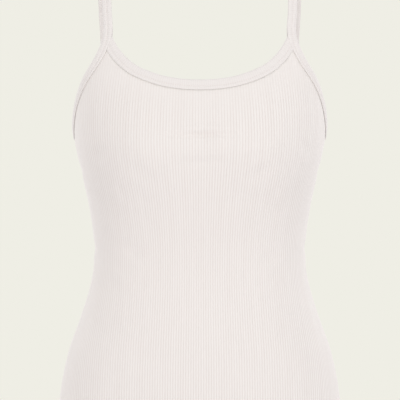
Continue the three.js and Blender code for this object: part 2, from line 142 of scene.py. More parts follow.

# Soft creases, listed one by one. Each is measured across from the middle of the front or the back, with
# its height, length, turn in degrees, depth (minus is a trough), width and bend.
CREASES = (
    ("front", 2, -262, 146, 1, -1.2, 3.0, 0.8),
    ("front", 3, -262, 58, 1, -0.6, 2.8, 0.4),
    ("front", 5, -254, 92, 0, 0.5, 4.4, 1.5),
    ("front", 2, -293, 84, 2, -0.55, 6.0, -3.0),
    ("front", 4, -305, 180, 0, -1.3, 22.0, 0.0),
    ("front", 2, -368, 220, 0, 0.9, 26.0, 0.0),
    ("front", -63, -309, 66, -31, -0.8, 9.5, 4.0),
    ("front", 69, -306, 58, 29, -0.7, 8.5, 5.0),
    ("front", -97, -334, 52, -47, 0.5, 8.0, 2.0),
    ("front", 99, -329, 46, 52, 0.45, 7.5, 3.0),
    ("front", -76, -396, 62, -13, -0.7, 8.0, 3.0),
    ("front", 84, -404, 50, 10, -0.6, 7.0, 2.0),
    ("front", -92, -427, 44, -22, 0.45, 7.5, 2.0),
    ("front", -66, -516, 74, 9, -0.45, 11.0, 5.0),
    ("front", 78, -534, 64, -7, -0.45, 10.0, 4.0),
    ("front", -128, -283, 40, 34, -0.7, 6.0, 2.0),
    ("front", 133, -276, 36, -38, -0.6, 6.0, 2.0),
    ("back", 6, -272, 84, 2, -0.6, 8.0, 3.0),
    ("back", -60, -304, 62, -24, -0.8, 9.0, 4.0),
    ("back", 55, -315, 70, 21, -0.7, 9.0, 4.0),
    ("back", -38, -388, 88, -6, -1.0, 7.5, 5.0),
    ("back", 47, -401, 72, 9, -0.9, 7.0, 4.0),
    ("back", 4, -424, 96, 2, -0.7, 9.0, -5.0),
    ("back", -74, -360, 52, -29, -0.6, 8.0, 3.0),
    ("back", 80, -366, 44, 33, -0.6, 7.5, 3.0),
    ("back", -52, -540, 70, 12, -0.5, 11.0, 5.0),
    ("back", 62, -524, 58, -14, -0.5, 10.0, 4.0),
    ("side", -8, -392, 54, 6, -0.9, 7.0, 3.0),
    ("side", 6, -418, 44, -8, -0.7, 7.5, 3.0),
    ("side", -10, -300, 48, -20, -0.6, 8.0, 3.0),
)


# Short ways to declare a property
def length_of(name, description, default, kind="LENGTH"):
    return bpy.props.FloatProperty(name=name, description=description, default=default, unit=kind)


def number_of(name, description, default):
    return length_of(name, description, default, "NONE")


def power_of(name, description, default):
    return length_of(name, description, default, "POWER")


def shade_of(name, description, default):
    return bpy.props.FloatProperty(name=name, description=description, default=default, min=0.0, max=0.9)


def colour_of(name, description, default):
    return bpy.props.FloatVectorProperty(
        name=name, description=description, default=default, subtype="COLOR", size=4
    )


class TANKTOP_PG_knit(bpy.types.PropertyGroup):
    """Sizes of the knitted cloth"""

    rib_depth: length_of("Rib depth", "Depth of the valleys between ribs", 0.0004)
    rib_roundness: number_of("Rib roundness", "Higher makes broad flat ribs with narrow valleys", 2.4)
    loop_height: length_of("Loop height", "Height of one knitted loop", 0.0013)
    loop_relief: length_of("Loop relief", "Depth between knitted loops", 0.0001)
    crease_strength: number_of("Crease strength", "Scales the depth of every crease", 1.8)


class TANKTOP_PG_binding(bpy.types.PropertyGroup):
    """Sizes of the folded bindings"""

    rib_pitch: length_of("Rib pitch", "Distance between the ribs across a binding", 0.0024)
    rib_depth: length_of("Rib depth", "Depth of the ribs across a binding", 0.0002)
    step: length_of("Step", "Distance between points along a binding", 0.00062)


class TANKTOP_PG_thread(bpy.types.PropertyGroup):
    """Sizes of the stitches"""

    pitch: length_of("Stitch pitch", "Distance from one stitch to the next", 0.0026)
    length: length_of("Stitch length", "Visible length of one stitch", 0.0015)
    width: length_of("Thread width", "Width of the sewing thread", 0.0005)


class TANKTOP_PG_colours_and_painted_shade(bpy.types.PropertyGroup):
    """Colours of the cloth and the thread, and the painted shade in the valleys between ribs"""

    # Shares of painted shade: how much darker the cloth's colour is made in the valleys between ribs
    panel_painted_shade: shade_of("Panel shade", "How much darker the panels are between ribs", 0.128)
    binding_painted_shade: shade_of("Binding shade", "How much darker the bindings are between ribs", 0.045)
    panel_colour: colour_of("Rib knit", "Colour of the panels", (0.87, 0.832, 0.808, 1.0))
    binding_colour: colour_of("Binding", "Colour of the bindings and straps", (0.835, 0.794, 0.774, 1.0))
    thread_colour: colour_of("Thread", "Colour of the stitches", (0.76, 0.67, 0.64, 1.0))


class TANKTOP_PG_stage(bpy.types.PropertyGroup):
    """Studio round the tank top"""

    background: colour_of("Background", "Colour of the studio", (0.863, 0.855, 0.783, 1.0))
    ambient: colour_of("Even light", "Colour of the light from all round", (0.68, 0.68, 0.68, 1.0))
    floor_colour: colour_of("Floor", "Colour of the floor", (0.84, 0.825, 0.835, 1.0))
    floor_height: length_of("Floor height", "Height of the floor", -1.0)
    key_power: power_of("Key light", "Power of the soft light at the front right", 18.7)
    fill_power: power_of("Fill light", "Power of the soft light at the front left", 12.6)
    edge_power: power_of("Edge lights", "Power of the soft lights behind both sides", 26.0)
    camera_distance: length_of("Camera distance", "Distance from the camera to the shoulders", 2.5)


# Tables read as smooth curves
def smooth(knots, values, x):
    """Smooth curve through the values at the knots, read at each x. Values may be rows of numbers."""
    knots = np.asarray(knots, float)
    values = np.asarray(values, float)
    last = len(knots) - 1
    place = np.clip(np.asarray(x, float), knots[0], knots[last])
    i = np.clip(np.searchsorted(knots, place, side="left") - 1, 0, last - 1)
    after = np.minimum(np.arange(last + 1) + 1, last)
    before = np.maximum(np.arange(last + 1) - 1, 0)
    run = knots[after] - knots[before]
    wide = (slice(None),) + (None,) * (values.ndim - 1)
    slopes = (values[after] - values[before]) / run[wide]
    span = knots[i + 1] - knots[i]
    t = (place - knots[i]) / span
    more = (Ellipsis,) + (None,) * (values.ndim - 1)
    rise = (3 * t**2 - 2 * t**3)[more]
    leave = ((t**3 - 2 * t**2 + t) * span)[more]
    arrive = ((t**3 - t**2) * span)[more]
    return values[i] + (values[i + 1] - values[i]) * rise + leave * slopes[i] + arrive * slopes[i + 1]


def column(table, number):
    return [row[number] for row in table]


def section_value(number, height):
    return smooth(column(SECTIONS, 0), column(SECTIONS, number), height)


def unit(vectors):
    return vectors / np.linalg.norm(vectors, axis=-1, keepdims=True)


def soft_step(t):
    t = np.clip(t, 0, 1)
    return t * t * (3 - 2 * t)


def bell(distance, width):
    return np.exp(-((distance / width) ** 2))


# The worn form, laid out once as a grid: a row for each millimetre of height, and even shares of the
# way round from the middle of the front to the middle of the back
GRID_LOW = -626.0
GRID_HIGH = -92.0
GRID_SHARES = 1440
HALF_TURN_STEPS = 720


def lay_out_form():
    heights = np.arange(GRID_LOW, GRID_HIGH + 1)
    half, front, back, bust, square = (section_value(n, heights)[:, None] for n in range(1, 6))
    turn = np.linspace(0, math.pi, HALF_TURN_STEPS + 1)[None, :]
    sideways = (np.sin(turn) + square * np.sin(3 * turn)) / (1 - square)
    forward = (np.cos(turn) - square * np.cos(3 * turn)) / (1 - square)
    x = half * sideways
    cups = bell(x - CUP_PLACE, CUP_SPREAD) + bell(x + CUP_PLACE, CUP_SPREAD)
    y = np.where(forward > 0, -(front + bust * cups) * forward, -back * forward)
    steps = np.hypot(np.diff(x, axis=1), np.diff(y, axis=1))
    run = np.concatenate([np.zeros((len(heights), 1)), np.cumsum(steps, axis=1)], axis=1)
    shares = np.linspace(0, 1, GRID_SHARES + 1)
    grid = np.empty((len(heights), GRID_SHARES + 1, 2))
    for row in range(len(heights)):
        at = run[row] / run[row, -1]
        grid[row, :, 0] = np.interp(shares, at, x[row])
        grid[row, :, 1] = np.interp(shares, at, y[row])
    return {"grid": grid, "whole": run[:, -1], "side": run[:, HALF_TURN_STEPS // 2]}


FORM = lay_out_form()


def form_value(name, height):
    place = np.clip(np.asarray(height, float) - GRID_LOW, 0, GRID_HIGH - GRID_LOW)
    return np.interp(place, np.arange(len(FORM[name])), FORM[name])


def form_point(around, height):
    """Point of the form at a distance round from the middle of the front, plus towards the right."""
    around, height = np.broadcast_arrays(np.asarray(around, float), np.asarray(height, float))
    place = np.clip(height - GRID_LOW, 0, GRID_HIGH - GRID_LOW - 1e-6)
    row = place.astype(int)
    up = (place - row)[..., None]
    share = np.clip(np.abs(around) / form_value("whole", height), 0, 1) * GRID_SHARES
    share = np.minimum(share, GRID_SHARES - 1e-6)
    col = share.astype(int)
    on = (share - col)[..., None]
    grid = FORM["grid"]
    low = grid[row, col] * (1 - on) + grid[row, col + 1] * on
    high = grid[row + 1, col] * (1 - on) + grid[row + 1, col + 1] * on
    flat = low * (1 - up) + high * up
    return np.stack([np.sign(around) * flat[..., 0], flat[..., 1], height], axis=-1)


# Three ways to measure across the form
def from_front(across, height):
    return form_point(across, height)


def from_back(across, height):
    around = form_value("whole", height) - np.abs(across)
    return form_point(np.where(np.asarray(across) > 0, -around, around), height)


def from_side(across, height):
    return form_point(form_value("side", height) + across, height)


def front_reach(height):
    return form_value("side", height)


def back_reach(height):
    return form_value("whole", height) - form_value("side", height)


# Half of the distance over which directions are measured
NEAR = 0.5


def lie(cloth, across, height):
    """Directions of the form at a place: along each measure, and out of the form."""
    by_across = (cloth(across + NEAR, height) - cloth(across - NEAR, height)) / (2 * NEAR)
    by_height = (cloth(across, height + NEAR) - cloth(across, height - NEAR)) / (2 * NEAR)
    return by_across, by_height, unit(np.cross(by_across, by_height))


def path_through(rows):
    """Smooth path through a table of places, as a function of the distance along it, and its length."""
    rows = np.asarray(rows, float)
    steps = np.hypot(np.diff(rows[:, 0]), np.diff(rows[:, 1]))
    run = np.concatenate([[0], np.cumsum(steps)])
    return (lambda s: smooth(run, rows, s)), run[-1]


def both_halves(rows):
    other = [(-across, height) for across, height in rows[:0:-1]]
    return tuple(other) + tuple(rows)


def station(cloth, path, length, s):
    """Places beside a path: where each starts, its step for each millimetre past it, and directions."""
    inside = np.clip(s, NEAR, length - NEAR)
    ahead = path(inside + NEAR)
    behind = path(inside - NEAR)
    here = path(s)
    along = unit(cloth(ahead[..., 0], ahead[..., 1]) - cloth(behind[..., 0], behind[..., 1]))
    by_across, by_height, out = lie(cloth, here[..., 0], here[..., 1])
    past = np.cross(out, along)
    aa = (by_across * by_across).sum(-1)
    ab = (by_across * by_height).sum(-1)
    bb = (by_height * by_height).sum(-1)
    pa = (past * by_across).sum(-1)
    pb = (past * by_height).sum(-1)
    whole = aa * bb - ab * ab
    step = np.stack([(pa * bb - pb * ab) / whole, (pb * aa - pa * ab) / whole], axis=-1)
    return here, step, past, out


def beside(cloth, path, length, s, past, lift):
    """Points at distances past a path and lifts out of the form, with the directions there."""
    here, step, past_way, _ = station(cloth, path, length, s)
    across = here[..., 0] + step[..., 0] * past
    height = here[..., 1] + step[..., 1] * past
    _, _, out = lie(cloth, across, height)
    points = cloth(across, height) + out * np.asarray(lift)[..., None]
    return points, past_way, out


# Ribs, which lie closest in the middle of a panel
def rib_distance(rib, ribs, reach):
    share = rib / ribs
    return reach * (share * (1 - RIB_CROWDING) + RIB_CROWDING * share**3)


def rib_at(across, reach, height):
    ribs = section_value(RIBS, height)
    rib = across / reach * ribs
    for _ in range(4):
        rib = rib + (across - rib_distance(rib, ribs, reach)) / reach * ribs
    return rib


# Blender's own meshes
def make_object(name, points, faces, uvs, attributes):
    """Mesh object from points in millimetres. Attributes hold a number or a vector for each point."""
    mesh = bpy.data.meshes.new(name)
    mesh.from_pydata((np.asarray(points) * MM).tolist(), [], faces)
    layer = mesh.uv_layers.new(name="cloth")
    corner_points = np.empty(len(mesh.loops), np.int32)
    mesh.loops.foreach_get("vertex_index", corner_points)
    layer.data.foreach_set("uv", (uvs[corner_points] * MM).astype(np.float32).ravel())
    for label, values in attributes.items():
        values = np.asarray(values, np.float32)
        kind = "FLOAT_VECTOR" if values.ndim == 2 else "FLOAT"
        store = mesh.attributes.new(label, kind, "POINT")
        store.data.foreach_set("vector" if values.ndim == 2 else "value", values.ravel())
    mesh.shade_smooth()
    mesh.update()
    if mesh.validate():
        raise RuntimeError(f"{name} has faces that Blender can't use")
    made = bpy.data.objects.new(name, mesh)
    bpy.context.scene.collection.objects.link(made)
    return made


def made_plain(rough, modifier, name):
    """The result of a modifier as a plain mesh object. The rough object goes."""
    bpy.context.view_layer.update()
    evaluated = rough.evaluated_get(bpy.context.evaluated_depsgraph_get())
    mesh = bpy.data.meshes.new_from_object(evaluated)
    if len(mesh.polygons) == 0:
        raise RuntimeError(f"{name} came out empty")
    rough.modifiers.remove(modifier)
    old = rough.data
    bpy.data.objects.remove(rough)
    bpy.data.meshes.remove(old)
    mesh.name = name
    made = bpy.data.objects.new(name, mesh)
    bpy.context.scene.collection.objects.link(made)
    return made


def with_tree(rough, tree, inputs, name):
    modifier = rough.modifiers.new(tree.name, "NODES")
    modifier.node_group = tree
    for item in tree.interface.items_tree:
        if item.item_type == "SOCKET" and item.in_out == "INPUT" and item.name in inputs:
            modifier[item.identifier] = inputs[item.name]
    return made_plain(rough, modifier, name)


class Nodes:
    """Short way to add linked nodes to a tree."""

    def __init__(self, tree):
        self.tree = tree

    def add(self, kind, inputs=None, **settings):
        node = self.tree.nodes.new(kind)
        for name, value in settings.items():
            setattr(node, name, value)
        for socket, value in (inputs or {}).items():
            if isinstance(value, bpy.types.NodeSocket):
                self.tree.links.new(value, node.inputs[socket])
            else:
                node.inputs[socket].default_value = value
        return node

    def math(self, operation, a, b=0.0):
        return self.add("ShaderNodeMath", {0: a, 1: b}, operation=operation).outputs[0]

    def product(self, a, b):
        return self.math("MULTIPLY", a, b)

    def from_nearest_whole(self, value):
        return self.math("ABSOLUTE", self.math("SUBTRACT", value, self.math("ROUND", value)))


def geometry_tree(name, labels):
    tree = bpy.data.node_groups.new(name, "GeometryNodeTree")
    tree.interface.new_socket(name="Geometry", in_out="INPUT", socket_type="NodeSocketGeometry")
    for label in labels:
        tree.interface.new_socket(name=label, in_out="INPUT", socket_type="NodeSocketFloat")
    tree.interface.new_socket(name="Geometry", in_out="OUTPUT", socket_type="NodeSocketGeometry")
    nodes = Nodes(tree)
    return tree, nodes, nodes.add("NodeGroupInput").outputs, nodes.add("NodeGroupOutput").inputs


def finish_tree(nodes, geometry, material, output):
    real = nodes.add("GeometryNodeRealizeInstances", {"Geometry": geometry})
    coated = nodes.add("GeometryNodeSetMaterial", {"Geometry": real.outputs[0], "Material": material})
    nodes.tree.links.new(coated.outputs[0], output["Geometry"])


def read_attribute(nodes, name, data_type="FLOAT"):
    node = nodes.add("GeometryNodeInputNamedAttribute", {"Name": name}, data_type=data_type)
    return node.outputs["Attribute"]


def rib_tree(name, material):
    """Ribs pressed into a smooth shell: narrow valleys between rounded crests."""
    tree, nodes, given, output = geometry_tree(name, ("Rib depth", "Roundness"))
    from_crest = nodes.from_nearest_whole(read_attribute(nodes, "rib"))
    valley = nodes.math("POWER", nodes.product(from_crest, 2.0), given["Roundness"])
    depth = nodes.product(valley, given["Rib depth"])
    drop = nodes.product(nodes.product(depth, read_attribute(nodes, "relief")), -1.0)
    out = read_attribute(nodes, "out", "FLOAT_VECTOR")
    move = nodes.add("ShaderNodeVectorMath", {0: out, "Scale": drop}, operation="SCALE")
    placed = nodes.add(
        "GeometryNodeSetPosition", {"Geometry": given["Geometry"], "Offset": move.outputs[0]}
    )
    finish_tree(nodes, placed.outputs[0], material, output)
    return tree


def stitch_tree(material):
    """Stitches set along guide lines, each turned along its line and out of the cloth."""
    tree, nodes, given, output = geometry_tree("Stitch row", ("Pitch", "Length", "Width"))
    curve = nodes.add("GeometryNodeMeshToCurve", {"Mesh": given["Geometry"]})
    even = nodes.add(
        "GeometryNodeResampleCurve", {"Curve": curve.outputs[0], "Length": given["Pitch"]}, mode="LENGTH"
    )
    bead = nodes.add("GeometryNodeMeshUVSphere", {"Segments": 6, "Rings": 4, "Radius": 0.5})
    tangent = nodes.add("GeometryNodeInputTangent").outputs[0]
    out = read_attribute(nodes, "out", "FLOAT_VECTOR")
    turn = nodes.add(
        "FunctionNodeAxesToRotation", {"Primary Axis": tangent, "Secondary Axis": out},
        primary_axis="X", secondary_axis="Z",
    )
    size = nodes.add(
        "ShaderNodeCombineXYZ", {"X": given["Length"], "Y": given["Width"], "Z": given["Width"]}
    )
    placed = nodes.add(
        "GeometryNodeInstanceOnPoints",
        {
            "Points": even.outputs[0],
            "Instance": bead.outputs["Mesh"],
            "Rotation": turn.outputs[0],
            "Scale": size.outputs[0],
        },
    )
    smooth_beads = nodes.add("GeometryNodeSetShadeSmooth", {"Geometry": placed.outputs[0]})
    finish_tree(nodes, smooth_beads.outputs[0], material, output)
    return tree


# Materials
def new_material(name):
    material = bpy.data.materials.new(name)
    material.use_nodes = True
    tree = material.node_tree
    tree.nodes.clear()
    nodes = Nodes(tree)
    shader = nodes.add("ShaderNodeBsdfPrincipled")
    nodes.add("ShaderNodeOutputMaterial", {"Surface": shader.outputs[0]})
    return material, nodes, shader


def blended(nodes, factor, first, second):
    """Colour between two others, each a colour or a socket that gives one."""
    mix = nodes.add("ShaderNodeMix", data_type="RGBA")
    sockets = {socket.identifier: socket for socket in [*mix.inputs, *mix.outputs]}
    nodes.tree.links.new(factor, sockets["Factor_Float"])
    for label, value in (("A_Color", first), ("B_Color", second)):
        if isinstance(value, bpy.types.NodeSocket):
            nodes.tree.links.new(value, sockets[label])
        else:
            sockets[label].default_value = value
    return sockets["Result_Color"]


# How the cloth's own colour goes towards painted shade in the valleys between ribs, in the dips between
# knitted loops and in the ditch beside a binding, with a random mottling of its tone. The painted valley
# shade rises across a rib by a power, and plain cloth takes its mean across a rib. Streaks come from a
# noise that reads the number of the rib, and STREAK_RUN times the metres along it.
VALLEY_SHADE_POWER = 1.6
MEAN_VALLEY_SHADE = 0.385
LOOP_PAINTED_SHADE = 0.012
PATCH_SHADE = 0.2
STREAK_SHADE = 0.45
STREAK_RUN = 22.0
DITCH_SHADOW_SHARE = 0.2

# Shares of the painted valley shade that red, green and blue take, and what is left of them in the
# painted shadow of the ditch beside a binding
VALLEY_SHADE_TINT = (0.75, 1.0, 1.08)
DITCH_SHADOW_TINT = (0.50, 0.80, 0.66)

# Slant of the loops to the side, in loops for each rib, and height of the fuzz beside a loop's
LOOP_SLANT = 1.4
FUZZ_HEIGHT = 0.4


def knit_material(name, colour, roughness, shade, loop_height, loop_relief):
    """Matt cotton rib knit: chevrons of loops along each rib, painted shade in the valleys and between
    loops, a painted shadow in the ditch beside a binding, and a faint unevenness.
    """
    material, nodes, shader = new_material(name)
    tree = nodes.tree
    uv = nodes.add("ShaderNodeUVMap", uv_map="cloth").outputs[0]
    split = nodes.add("ShaderNodeSeparateXYZ", {0: uv}).outputs
    rib = nodes.add("ShaderNodeAttribute", attribute_name="rib").outputs["Fac"]
    from_crest = nodes.from_nearest_whole(rib)
    rows = nodes.math("DIVIDE", split["Y"], loop_height)
    slant = nodes.product(from_crest, LOOP_SLANT)
    loops = nodes.math("SINE", nodes.product(nodes.math("SUBTRACT", rows, slant), 2 * math.pi))
    place = nodes.add("ShaderNodeTexCoord").outputs["Object"]
    fuzz = nodes.add("ShaderNodeTexNoise", {"Vector": place, "Scale": 900.0, "Detail": 3.0})
    relief = nodes.math("ADD", loops, nodes.product(fuzz.outputs["Fac"], FUZZ_HEIGHT))
    bump = nodes.add("ShaderNodeBump", {"Height": relief, "Strength": 0.12, "Distance": loop_relief})
    tree.links.new(bump.outputs[0], shader.inputs["Normal"])

    # Painted shade in the valleys between ribs, strongest in the middle of a valley
    valley = nodes.math("POWER", nodes.product(from_crest, 2.0), VALLEY_SHADE_POWER)
    ribbed = nodes.add("ShaderNodeAttribute", attribute_name="relief").outputs["Fac"]
    groove_shade_by_relief = nodes.product(nodes.math("SUBTRACT", valley, MEAN_VALLEY_SHADE), ribbed)
    painted_groove_shade = nodes.math("ADD", groove_shade_by_relief, MEAN_VALLEY_SHADE)
    # Painted shade in the dips between knitted loops
    painted_loop_shade = nodes.product(nodes.math("SUBTRACT", 1.0, loops), LOOP_PAINTED_SHADE)
    uneven = nodes.add("ShaderNodeTexNoise", {"Vector": place, "Scale": 14.0, "Detail": 4.0})
    patchy = nodes.product(nodes.math("SUBTRACT", uneven.outputs["Fac"], 0.5), PATCH_SHADE)
    run = nodes.add("ShaderNodeCombineXYZ", {0: rib, 1: nodes.product(split["Y"], STREAK_RUN)})
    uneven_run = nodes.add("ShaderNodeTexNoise", {"Vector": run.outputs[0], "Scale": 0.45, "Detail": 2.0})
    streaks = nodes.product(nodes.math("SUBTRACT", uneven_run.outputs["Fac"], 0.5), STREAK_SHADE)
    # Strength of the painted shadow in the ditch beside a binding
    ditch = nodes.add("ShaderNodeAttribute", attribute_name="ditch").outputs["Fac"]
    mottled = nodes.math("ADD", patchy, streaks)
    painted_shade_and_mottling = nodes.math("ADD", painted_groove_shade, nodes.math("ADD", painted_loop_shade, mottled))
    # Colour that the painted valley shade darkens the cloth towards
    painted_valley_colour = [*(part * (1 - share * shade) for part, share in zip(colour, VALLEY_SHADE_TINT)), 1.0]
    # Colour of the painted shadow in the ditch beside a binding
    seam = [*(part * share for part, share in zip(colour, DITCH_SHADOW_TINT)), 1.0]
    # Cloth's colour with painted shade in the valleys and between loops, mottled at random
    cloth = blended(nodes, painted_shade_and_mottling, colour, painted_valley_colour)
    # The painted ditch shadow over the cloth's colour
    blend = blended(nodes, nodes.product(ditch, DITCH_SHADOW_SHARE), cloth, seam)
    tree.links.new(blend, shader.inputs["Base Color"])
    shader.inputs["Roughness"].default_value = roughness
    shader.inputs["Specular IOR Level"].default_value = 0.25
    shader.inputs["Sheen Weight"].default_value = 0.25
    shader.inputs["Sheen Roughness"].default_value = 0.45
    return material


def thread_material(name, colour):
    """Twisted sewing thread."""
    material, nodes, shader = new_material(name)
    place = nodes.add("ShaderNodeTexCoord").outputs["Object"]
    twist = nodes.add("ShaderNodeTexNoise", {"Vector": place, "Scale": 2600.0, "Detail": 2.0})
    bump = nodes.add(
        "ShaderNodeBump", {"Height": twist.outputs["Fac"], "Strength": 0.5, "Distance": 0.0001}
    )
    nodes.tree.links.new(bump.outputs[0], shader.inputs["Normal"])
    shader.inputs["Base Color"].default_value = colour
    shader.inputs["Roughness"].default_value = 0.7
    shader.inputs["Specular IOR Level"].default_value = 0.3
    return material


def material_named(name):
    """Materials are made once, when the first piece asks for one."""
    if name in bpy.data.materials:
        return bpy.data.materials[name]
    sizes = bpy.context.scene.tank_top_knit
    colours = bpy.context.scene.tank_top_finish
    loop = (sizes.loop_height, sizes.loop_relief)
    if name == "ribbed_cotton":
        return knit_material(name, colours.panel_colour[:], 0.86, colours.panel_painted_shade, *loop)
    if name == "binding_cotton":
        return knit_material(name, colours.binding_colour[:], 0.84, colours.binding_painted_shade, *loop)
    return thread_material("cotton_thread", colours.thread_colour[:])


# Panels

# Rows are level from the hem up to the waist: those of the hem's edge, then even ones, with fine ones
# where the stitches press the hem in
HEM_ROWS = (-620.0, -619.7, -619.1, -618.2, -616.8, -614.5, -611.0, -607.5)
HEM_STITCH_ROWS = (-600.0, -603.0)
ABOVE_HEM_ROWS = 1.5
LEVEL_STEP = 6.0
FINE_STEP = 1.0
FINE_FROM = -606.0
FINE_TO = -597.0

# Above the waist rows rise evenly to the rows along the folds, closer together between two shares
RISING_COUNT = 74
DENSE_FROM = 0.5
DENSE_TO = 0.86

# Ribs of each row above the waist, with every column outside and a column for each rib inside
HALF_COLUMNS = int(BODY_RIBS * COLUMNS_PER_RIB)
FULL_RIBS = np.arange(-HALF_COLUMNS, HALF_COLUMNS + 1) / COLUMNS_PER_RIB
INSIDE_RIBS = np.concatenate([[-BODY_RIBS], np.arange(-int(BODY_RIBS), int(BODY_RIBS) + 1), [BODY_RIBS]])

# Samples of the folds, and the lowest places that are near enough to each for its distance to count
EDGE_SAMPLES = 700
NECK_SAMPLES = 500
ARM_SAMPLES = 800
NECK_LOW = -260
ARM_LOW = -300

# Beside a binding creases begin to show over CALM and ribs deepen over RIB_FADE. The cloth dips into a
# ditch, with a painted shadow in it, and swells after it: how deep, how far from the binding and how wide
CALM = 14
RIB_FADE = 42
RIB_LEAST = 0.4
NECK_DIP = 0.35
ARM_DIP = 0.15
DIP_PLACE = 0.4
DIP_WIDTH = 0.9
DITCH_SHADOW_PLACE = 0.35
DITCH_SHADOW_WIDTH = 0.7
SWELL = 0.3
SWELL_PLACE = 4.2
SWELL_WIDTH = 2.4
UNDER_BINDING = -0.1

# Swell beside the side seams, the hem's rounded edge, and how its stitches press the cloth in
SEAM_SWELL = 0.2
SEAM_SWELL_PLACE = 4
SEAM_SWELL_WIDTH = 2.2
SEAM_FLATTENS = 0.8
HEM_CURL = 3.5
HEM_ROUND = 0.98
HEM_RIB_FADE = 3
PRESS_DEPTH = 0.35
PRESS_WIDTH = 1.1
PRESS_FLATTENS = 0.5

# Lifts of the inside's three lowest rows, which round the hem's edge, and its highest crease
HEM_EDGE_LIFTS = (-1.7, -2.1, -2.4)
INSIDE_CREASE = 0.3

# Rows along the folds, at least LEAST_GAP apart: share of the way under the fold to its seam line, and
# distance past that line
LEAST_GAP = 0.05
EDGE_ROWS = (
    (0, 0), (0.35, 0), (0.7, 0), (0.9, 0), (1, 0), (1, 0.3), (1, 0.6), (1, 0.9), (1, 1.3), (1, 1.8),
    (1, 2.5), (1, 3.5), (1, 5), (1, 7.5), (1, 11),
)


def edge_heights(cloth, path, length, to_across, reach, ribs_wanted, inset):
    """Height at which each rib meets the line that lies inside a fold's edge, or infinity."""
    s = np.linspace(0, length, EDGE_SAMPLES)
    here, step, _, _ = station(cloth, path, length, s)
    height = here[:, 1] - step[:, 1] * inset
    across = to_across(here[:, 0] - step[:, 0] * inset, height)
    rib = rib_at(across, reach(height), height)
    lowest = np.full(len(ribs_wanted), np.inf)
    for i in range(1, EDGE_SAMPLES):
        share = (ribs_wanted - rib[i - 1]) / (rib[i] - rib[i - 1])
        crossing = height[i - 1] + (height[i] - height[i - 1]) * share
        meets = (share >= 0) & (share <= 1)
        lowest = np.where(meets, np.minimum(lowest, crossing), lowest)
    return lowest


def from_other_middle(across, height):
    """The same places, measured round the form from the opposite middle line."""
    whole = form_value("whole", height)
    return np.where(across > 0, across - whole, across + whole)


def crease_lift(around, height):
    """Lift of all the creases at places on the form."""
    measures = {
        "front": around,
        "back": from_other_middle(around, height),
        "side": np.abs(around) - form_value("side", height),
    }
    lift = np.zeros_like(height)
    for measure, across, level, length, turn, depth, width, bend in CREASES:
        da = measures[measure] - across
        dh = height - level
        c, s = math.cos(math.radians(turn)), math.sin(math.radians(turn))
        along = (da * c + dh * s) / (length / 2)
        off = dh * c - da * s - bend * along**2
        window = np.where(np.abs(along) < 1, np.cos(along * math.pi / 2) ** 2, 0)
        lift += depth * window * bell(off, width)
    return lift


def distances_to(line, points, only):
    """Distance from each point to the nearest point of a line, where it is asked for."""
    tree = KDTree(len(line))
    for i, place in enumerate(line):
        tree.insert(place, i)
    tree.balance()
    far = np.full(len(points), 1e6)
    for i in np.nonzero(only)[0]:
        far[i] = tree.find(points[i])[2]
    return far


def zip_lines(one, one_places, two, two_places):
    """Faces between two lines of point numbers that run the same way, tied where places are near.

    They face the side from which the second line lies above the first and both run to the right.
    """
    faces = []
    i = j = 0
    while i < len(one) - 1 or j < len(two) - 1:
        if j == len(two) - 1 or i == len(one) - 1:
            move_one = j == len(two) - 1
        else:
            lead = two_places[j + 1] - one_places[i + 1]
            move_one = lead > 0 or (lead == 0 and one_places[i + 1] <= 0)
        if move_one:
            faces.append((one[i], one[i + 1], two[j]))
            i += 1
        else:
            faces.append((one[i], two[j + 1], two[j]))
            j += 1
    return faces


def rising_shares():
    """Shares of the way up from the waist, twice as close together where the creases lie."""
    fine = np.linspace(0, 1, 401)
    weight = np.where((fine > DENSE_FROM) & (fine < DENSE_TO), 2.0, 1.0)
    run = np.concatenate([[0], np.cumsum((weight[1:] + weight[:-1]) / 2)])
    return np.interp(np.linspace(0, run[-1], RISING_COUNT + 1)[1:-1], run, fine)


def panel_sides(name):
    if name == "front":
        return from_front, front_reach, FRONT_NECK, 1
    return from_back, back_reach, BACK_NECK, -1


def fold_rows(name):
    """Heights of the ribs on each row along the folds of neckline, armhole and the tip in the strap."""
    cloth, reach, neck_rows, arm_sign = panel_sides(name)
    neck, neck_length = path_through(both_halves(neck_rows))
    arm, arm_length = path_through(ARMHOLE)
    wanted = np.abs(FULL_RIBS)

    def from_middle(across, height):
        return across

    def past_side(across, height):
        return reach(height) + arm_sign * across

    rows = []
    for under, past in EDGE_ROWS:
        inset = PANEL_INSET + (NECK_WIDTH - PANEL_INSET) * under + past
        at_neck = edge_heights(cloth, neck, neck_length, from_middle, reach, wanted, inset)
        inset = PANEL_INSET + (STRAP_WIDTH - PANEL_INSET) * under + past
        at_arm = edge_heights(from_side, arm, arm_length, past_side, reach, wanted, inset)
        row = np.minimum(np.minimum(at_neck, at_arm), TIP_HEIGHT)
        if rows:
            row = np.minimum(row, rows[-1] - LEAST_GAP)
        rows.append(row)
    return rows


def outside_rows(name):
    """Rows of the outside from the hem up, as ribs and heights, and how many of them are level."""
    level = [*HEM_ROWS]
    height = level[-1] + ABOVE_HEM_ROWS
    while height < WAIST - 1:
        level.append(height)
        height += FINE_STEP if FINE_FROM <= height < FINE_TO else LEVEL_STEP
    level.append(WAIST)
    rows = []
    for row_height in level:
        ribs = float(section_value(RIBS, row_height))
        last = int(math.ceil(ribs * COLUMNS_PER_RIB)) - 1
        ribs_here = np.concatenate([[-ribs], np.arange(-last, last + 1) / COLUMNS_PER_RIB, [ribs]])
        rows.append((ribs_here, np.full(len(ribs_here), row_height)))
    along_folds = fold_rows(name)
    for share in rising_shares():
        rows.append((FULL_RIBS, WAIST + (along_folds[-1] - WAIST) * share))
    rows += [(FULL_RIBS, row) for row in reversed(along_folds)]
    return rows, len(level)


